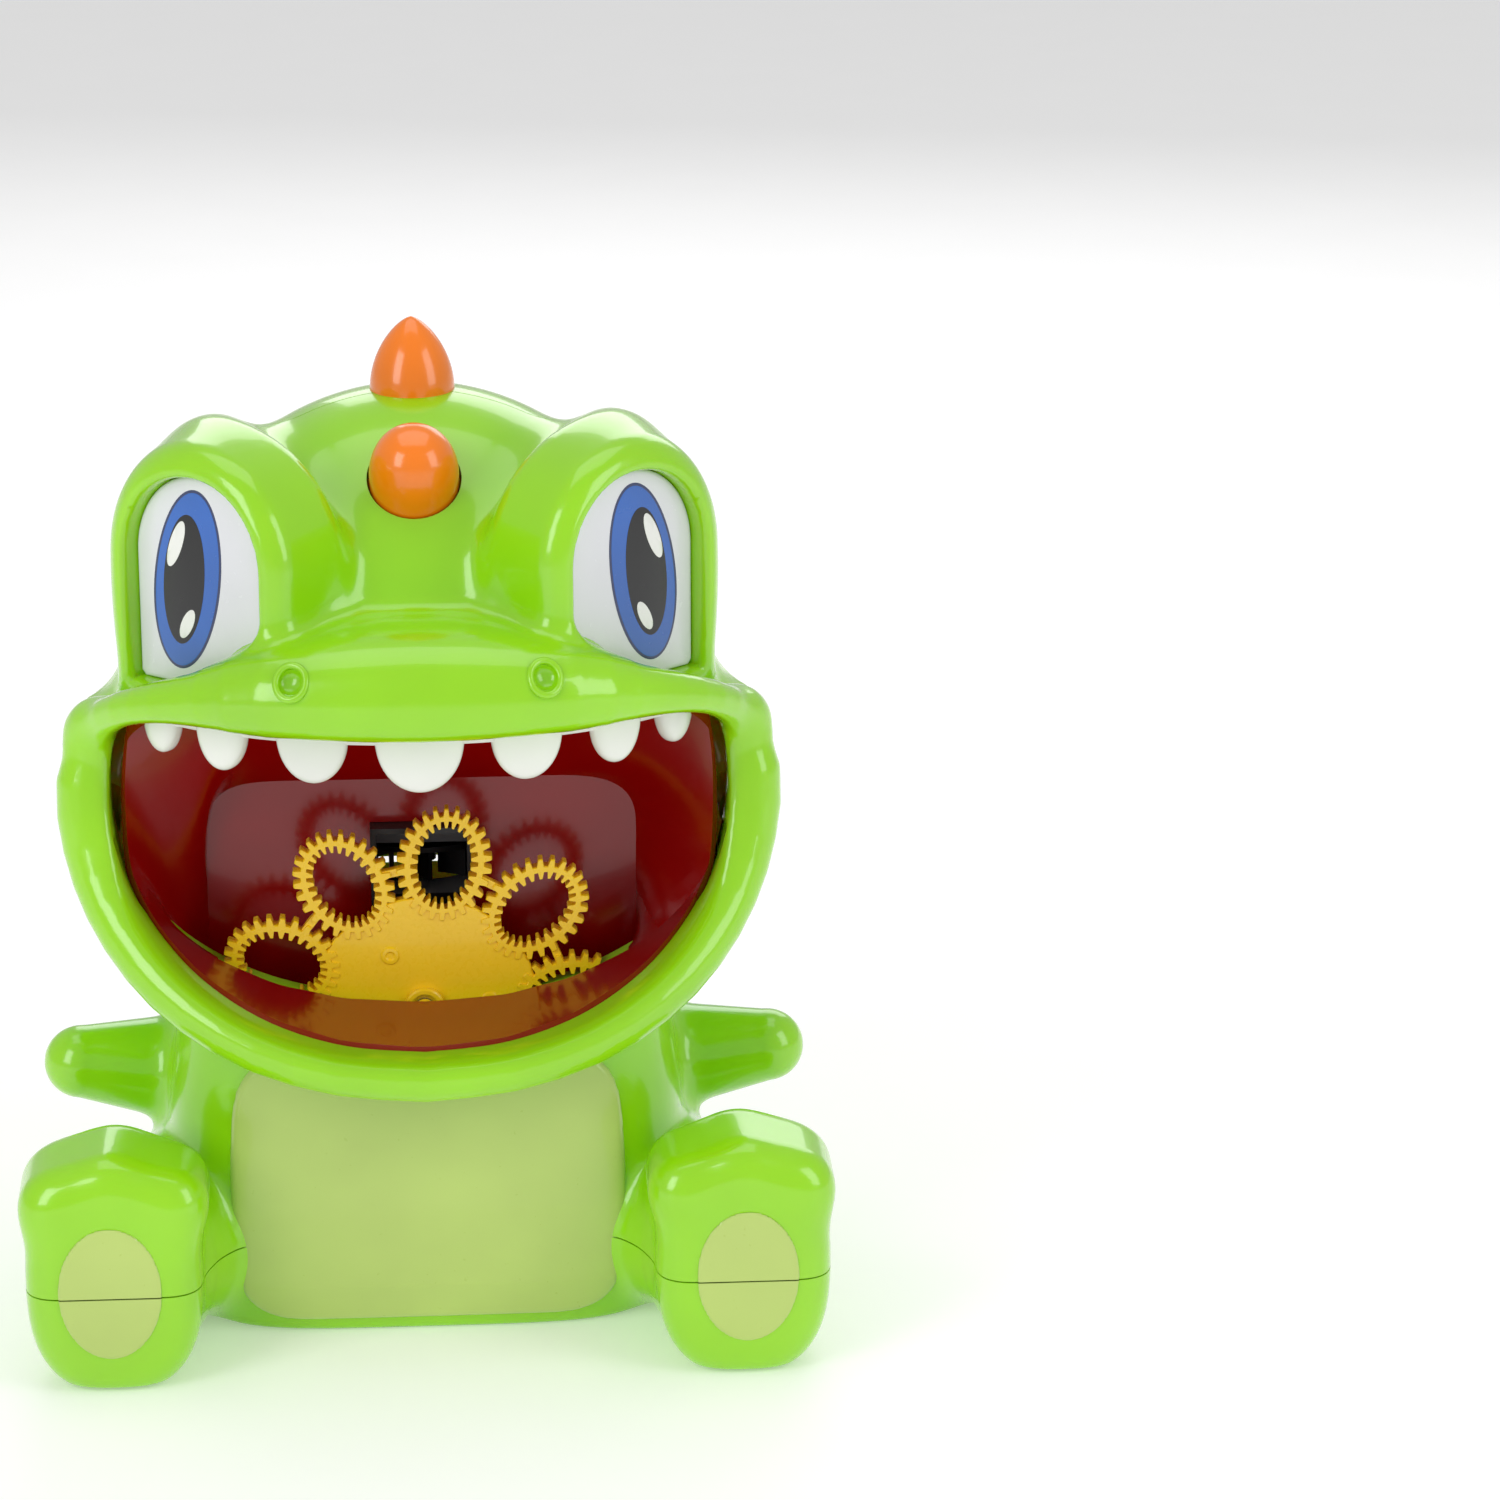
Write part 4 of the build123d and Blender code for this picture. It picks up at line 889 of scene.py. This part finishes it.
def comb(out, root):
    """Toothed oval: it steps between two ovals with rounded shoulders."""
    pts = []
    for i in range(TOOTH_COUNT):
        for part, level in TOOTH_STEPS:
            t = 2 * math.pi * (i + part) / TOOTH_COUNT
            a = root[0] + (out[0] - root[0]) * level
            b = root[1] + (out[1] - root[1]) * level
            pts.append((a * math.cos(t), b * math.sin(t)))
    return pts


def placed(pts, at, turn):
    """Flat points turned about their origin and moved."""
    c, q = math.cos(turn), math.sin(turn)
    return [(at[0] + p * c - r * q, at[1] + p * q + r * c) for p, r in pts]


def flat(name, outline, y0, y1, edge=0.25):
    """Outline drawn out along Y with a small round on both faces."""
    small = np.array(outline)
    mid = small.mean(0)
    size = np.abs(small - mid).max()
    k = 1 - edge / size
    inner_ring = mid + (small - mid) * k
    rings = [[(x, y0, z) for x, z in inner_ring], [(x, y0 + edge, z) for x, z in small],
             [(x, y1 - edge, z) for x, z in small], [(x, y1, z) for x, z in inner_ring]]
    return loft(name, rings)


circle = [(math.cos(t), math.sin(t)) for t in np.linspace(0, 2 * math.pi, 120, endpoint=False)]
y0, y1 = WHEEL_Y - THICK / 2, WHEEL_Y + THICK / 2
disc = [(DISC_R * a, HUB_Z + DISC_R * b) for a, b in circle]
wheel = flat("loop_wheel_moulding", disc, y0 + 0.3, y1 - 0.3)
holes = []
for n in range(LOOPS):
    turn = math.radians(FIRST_LOOP + 360 / LOOPS * n)
    at = (LOOP_AT * math.cos(turn), HUB_Z + LOOP_AT * math.sin(turn))
    mid_out = (LOOP_OUT[0] - LOOP_TEETH_OUT, LOOP_OUT[1] - LOOP_TEETH_OUT)
    ring = flat("loop", placed(comb(LOOP_OUT, mid_out), at, turn), y0, y1, 0.2)
    combine(wheel, ring, "UNION")
    holes.append((at, turn))
    half = turn + math.pi / LOOPS
    a = (TIE_AT * math.cos(half), HUB_Z + TIE_AT * math.sin(half))
    bar = [(-TIE_HALF, -TIE_REACH), (TIE_HALF, -TIE_REACH), (TIE_HALF, TIE_REACH), (-TIE_HALF, TIE_REACH)]
    combine(wheel, flat("tie", placed(bar, a, half), y0 + 0.6, y1 - 0.6, 0.1), "UNION")
for at, turn in holes:
    mid_in = (LOOP_IN[0] + LOOP_TEETH_IN, LOOP_IN[1] + LOOP_TEETH_IN)
    combine(wheel, prism("hole", placed(comb(LOOP_IN, mid_in), at, turn), y0 - 2, y1 + 2))
# raised hub with a round screw head in it, two small dots, and the sleeve behind
hub = [(0, -1), (3.5, -1), (3.5, 0), (3.5, 1.2), (3.2, 1.5), (2.6, 1.5), (2.3, 1.2),
       (2.3, 0.5), (1.7, 0.5), (1.6, 1.3), (1.3, 1.6), (0, 1.7)]
combine(wheel, turned("hub", hub, (0, y0 + 0.3, HUB_Z), (0, -1, 0), 72), "UNION")
for x, z in ((-5.9, 9.4), (11.5, 0.6)):
    dot = [(0, -1), (1.7, -1), (1.7, 0), (1.4, 0.35), (0.9, 0.4), (0.6, 0.1), (0, 0.1)]
    combine(wheel, turned("dot", dot, (x, y0 + 0.3, HUB_Z + z), (0, -1, 0), 36), "UNION")
combine(wheel, along_y("socket", 0, HUB_Z, WHEEL_Y - 0.4, WHEEL_Y + 9, 2.0, 40))
sleeve = [(0, 0), (3.6, 0), (3.6, 2.4), (0, 2.4)]
combine(wheel, turned("sleeve", sleeve, (0, y1 - 0.4, HUB_Z), (0, 1, 0), 60), "UNION")
piece(wheel, YELLOW, "wheel", "loop_wheel")


# ------------------------------------------------------------------ belly plate and soles
PLATE = rounded([(-33.2, 2.6), (33.2, 2.6), (35.0, 25), (33.4, 54), (-33.4, 54), (-35.0, 25)], 13.0, 8)
SOLE_C, SOLE_R = (54.6, 19.0), (8.8, 12.0)


def plate_field(x, y, z):
    """Belly plate: the torso's skin within the plate's outline, a little proud."""
    d = torso_field(np.abs(x), y, z)
    return meet(meet(d - 1.15, -d - 0.8, 0.4), flat_distance(PLATE, x, z), 1.4)


belly = local_form("belly_panel", plate_field, (-37, -42, 0), (37, -24, 57), 0.8)
piece(belly, PALE, "base", "belly_plate")


def sole_field(x, y, z):
    """Oval pad on the sole of each foot."""
    d = body(x, y, z)
    k = np.sqrt(((np.abs(x) - SOLE_C[0]) / SOLE_R[0]) ** 2 + ((z - SOLE_C[1]) / SOLE_R[1]) ** 2)
    return meet(meet(d - 0.3, -d - 0.5, 0.2), (k - 1) * 9.0, 0.3)


for s, side in ((-1, "right"), (1, "left")):
    span = (44, 66) if s > 0 else (-66, -44)
    sole = local_form("sole_pad_" + side, sole_field, (span[0], -62, 4), (span[1], -46, 34), 0.45)
    combine(sole, block("slit", -90, 90, -90, 0, SPLIT_Z - SEAM, SPLIT_Z + SEAM))
    piece(sole, PALE, "base")


# ------------------------------------------------------------------ knobs
def knob(name, at, way, r, tall, skirt, body_name, node):
    """Domed knob on a straight skirt."""
    profile = [(0, -skirt), (r - 0.4, -skirt), (r, -skirt + 0.4), (r, -0.2)]
    profile += [(r * max(math.cos(t), 0) ** 0.8, tall * math.sin(t))
                for t in np.linspace(0, math.pi / 2, 26)]
    return piece(turned(name, profile, at, way, 112), ORANGE, body_name, node)


knob("forehead_button", POWER_C, POWER_WAY, POWER_R, 9.2, 4.0, "power_key", "power_button")
knob("back_button", (0, MUSIC_Y, MUSIC_Z), (0, 1, 0), MUSIC_R, 9.0, 8.0, "music_key", "music_button")
knob("lower_knob", (0, 31.6, 48.0), (0, 1, 0), FIXED_R, 9.2, 3.2, "base", "back_spike")
knob("door_knob", (0, 42.0, 107.4), (0, 1, 0), FIXED_R, 9.6, 3.4, "door", "door_spike")
SPIKE_R, SPIKE_TALL = 7.4, 12.6
crest = [(0, -4.0), (SPIKE_R, -4.0)]
crest += [(SPIKE_R * max(1 - (h / SPIKE_TALL) ** 1.9, 0) ** 0.7, h)
          for h in SPIKE_TALL * np.sin(np.linspace(0, math.pi / 2, 30))]
piece(turned("crest", crest, (0, 3, 163.1), (0, 0, 1), 112), ORANGE, "base", "top_spike")

# frame of the battery bay, seen when the door is off
bay = block("bay_frame", x0 - 1.3, x1 + 1.3, 26.5, 60, z0 - 1.3, z1 + 1.3)
combine(bay, block("hollow", x0 - 0.3, x1 + 0.3, 20, 70, z0 - 0.3, z1 + 0.3))
bay_limit, bay_faces = nets(values + WALL - 0.2, corner, STEP)
combine(bay, make_mesh("limit", bay_limit, bay_faces), "INTERSECT")
piece(bay, GREEN, "base")

# ------------------------------------------------------------------ finishes of the carried-over nodes
FINISH = {
    "mouth_tub": RED, "nozzle": DARK, "shaft_seal": RUBBER,
    "casing_screws": STEEL, "door_screw": STEEL, "gearbox_screws": STEEL, "wheel_screw": STEEL,
    "wheel_shaft": STEEL, "first_axle": STEEL, "second_axle": STEEL,
    "wheel_motor_shaft": STEEL, "fan_motor_shaft": STEEL,
    "wheel_motor_can": ZINC, "fan_motor_can": ZINC, "wheel_motor_cap": WHITE, "fan_motor_cap": WHITE,
    "output_gear": MILK, "second_gear": MILK, "first_gear": MILK, "motor_pinion": MILK,
    "gearbox_case": GREY, "gearbox_lid": GREY, "fan_housing": GREY, "fan_lid": GREY, "fan_impeller": DARK,
    "battery_box": DARK, "battery_contacts": BRASS, "speaker": PAPER,
    "cell_1": CELL, "cell_2": CELL, "cell_3": CELL, "cell_4": CELL,
    "circuit_board": BOARD, "power_board": BOARD, "music_board": BOARD,
    "board_parts": DARK, "power_switch": DARK, "music_switch": DARK,
}
for name, obj in nodes.items():
    if name in FINISH:
        dress(obj, FINISH[name])

# ------------------------------------------------------------------ floor, lights and camera
FLOOR_HALF = 6000.0
corners = [(i * FLOOR_HALF, j * FLOOR_HALF) for i, j in ((-1, -1), (1, -1), (1, 1), (-1, 1))]
floor = make_mesh("floor", [(x, y, -0.05) for x, y in corners], np.array([(0, 1, 2, 3)]))
dress(floor, shader("floor", (244, 244, 244), 0.6, grain=300.0, bump=0.02, tone=0.01,
                    Emission_Color=(1, 1, 1, 1), Emission_Strength=0.22))


def lamp(name, at, aim, size, power):
    """Rectangular softbox, in metres, turned towards a point."""
    data = bpy.data.lights.new(name, "AREA")
    data.shape = "RECTANGLE"
    data.size, data.size_y = size
    data.energy = power
    obj = bpy.data.objects.new(name, data)
    obj.location = at
    obj.rotation_euler = (Vector(aim) - Vector(at)).to_track_quat("-Z", "Y").to_euler()
    bpy.context.scene.collection.objects.link(obj)


MIDDLE = (0, 0, 0.09)
lamp("left_softbox", (-0.75, -0.75, 0.62), MIDDLE, (0.45, 0.8), 4.4)
lamp("right_softbox", (0.85, -0.55, 0.55), MIDDLE, (0.45, 0.8), 3.0)
lamp("top_softbox", (0, 0.1, 1.15), MIDDLE, (0.9, 0.7), 2.4)
lamp("back_softbox", (0.2, 1.0, 0.6), MIDDLE, (0.9, 0.5), 2.4)
world = bpy.data.worlds.new("studio")
world.use_nodes = True
world.node_tree.nodes["Background"].inputs["Color"].default_value = (1, 1, 1, 1)
world.node_tree.nodes["Background"].inputs["Strength"].default_value = 0.5
bpy.context.scene.world = world
bpy.context.scene.view_settings.view_transform = "Standard"

ELEVATION, DISTANCE, LENS = math.radians(17.0), 0.850, 114.0
target = Vector((0, SHIFT_Y * MM, 0.090))
away = Vector((0, -math.cos(ELEVATION), math.sin(ELEVATION)))
upward = Vector((0, math.sin(ELEVATION), math.cos(ELEVATION)))
place = target + away * DISTANCE
aim = target + Vector((1, 0, 0)) * 0.0591 + upward * 0.0063
camera = bpy.data.objects.new("camera", bpy.data.cameras.new("camera"))
camera.data.lens = LENS
camera.data.sensor_width = 36.0
camera.location = place
camera.rotation_euler = (aim - place).to_track_quat("-Z", "Y").to_euler()
bpy.context.scene.collection.objects.link(camera)
bpy.context.scene.camera = camera
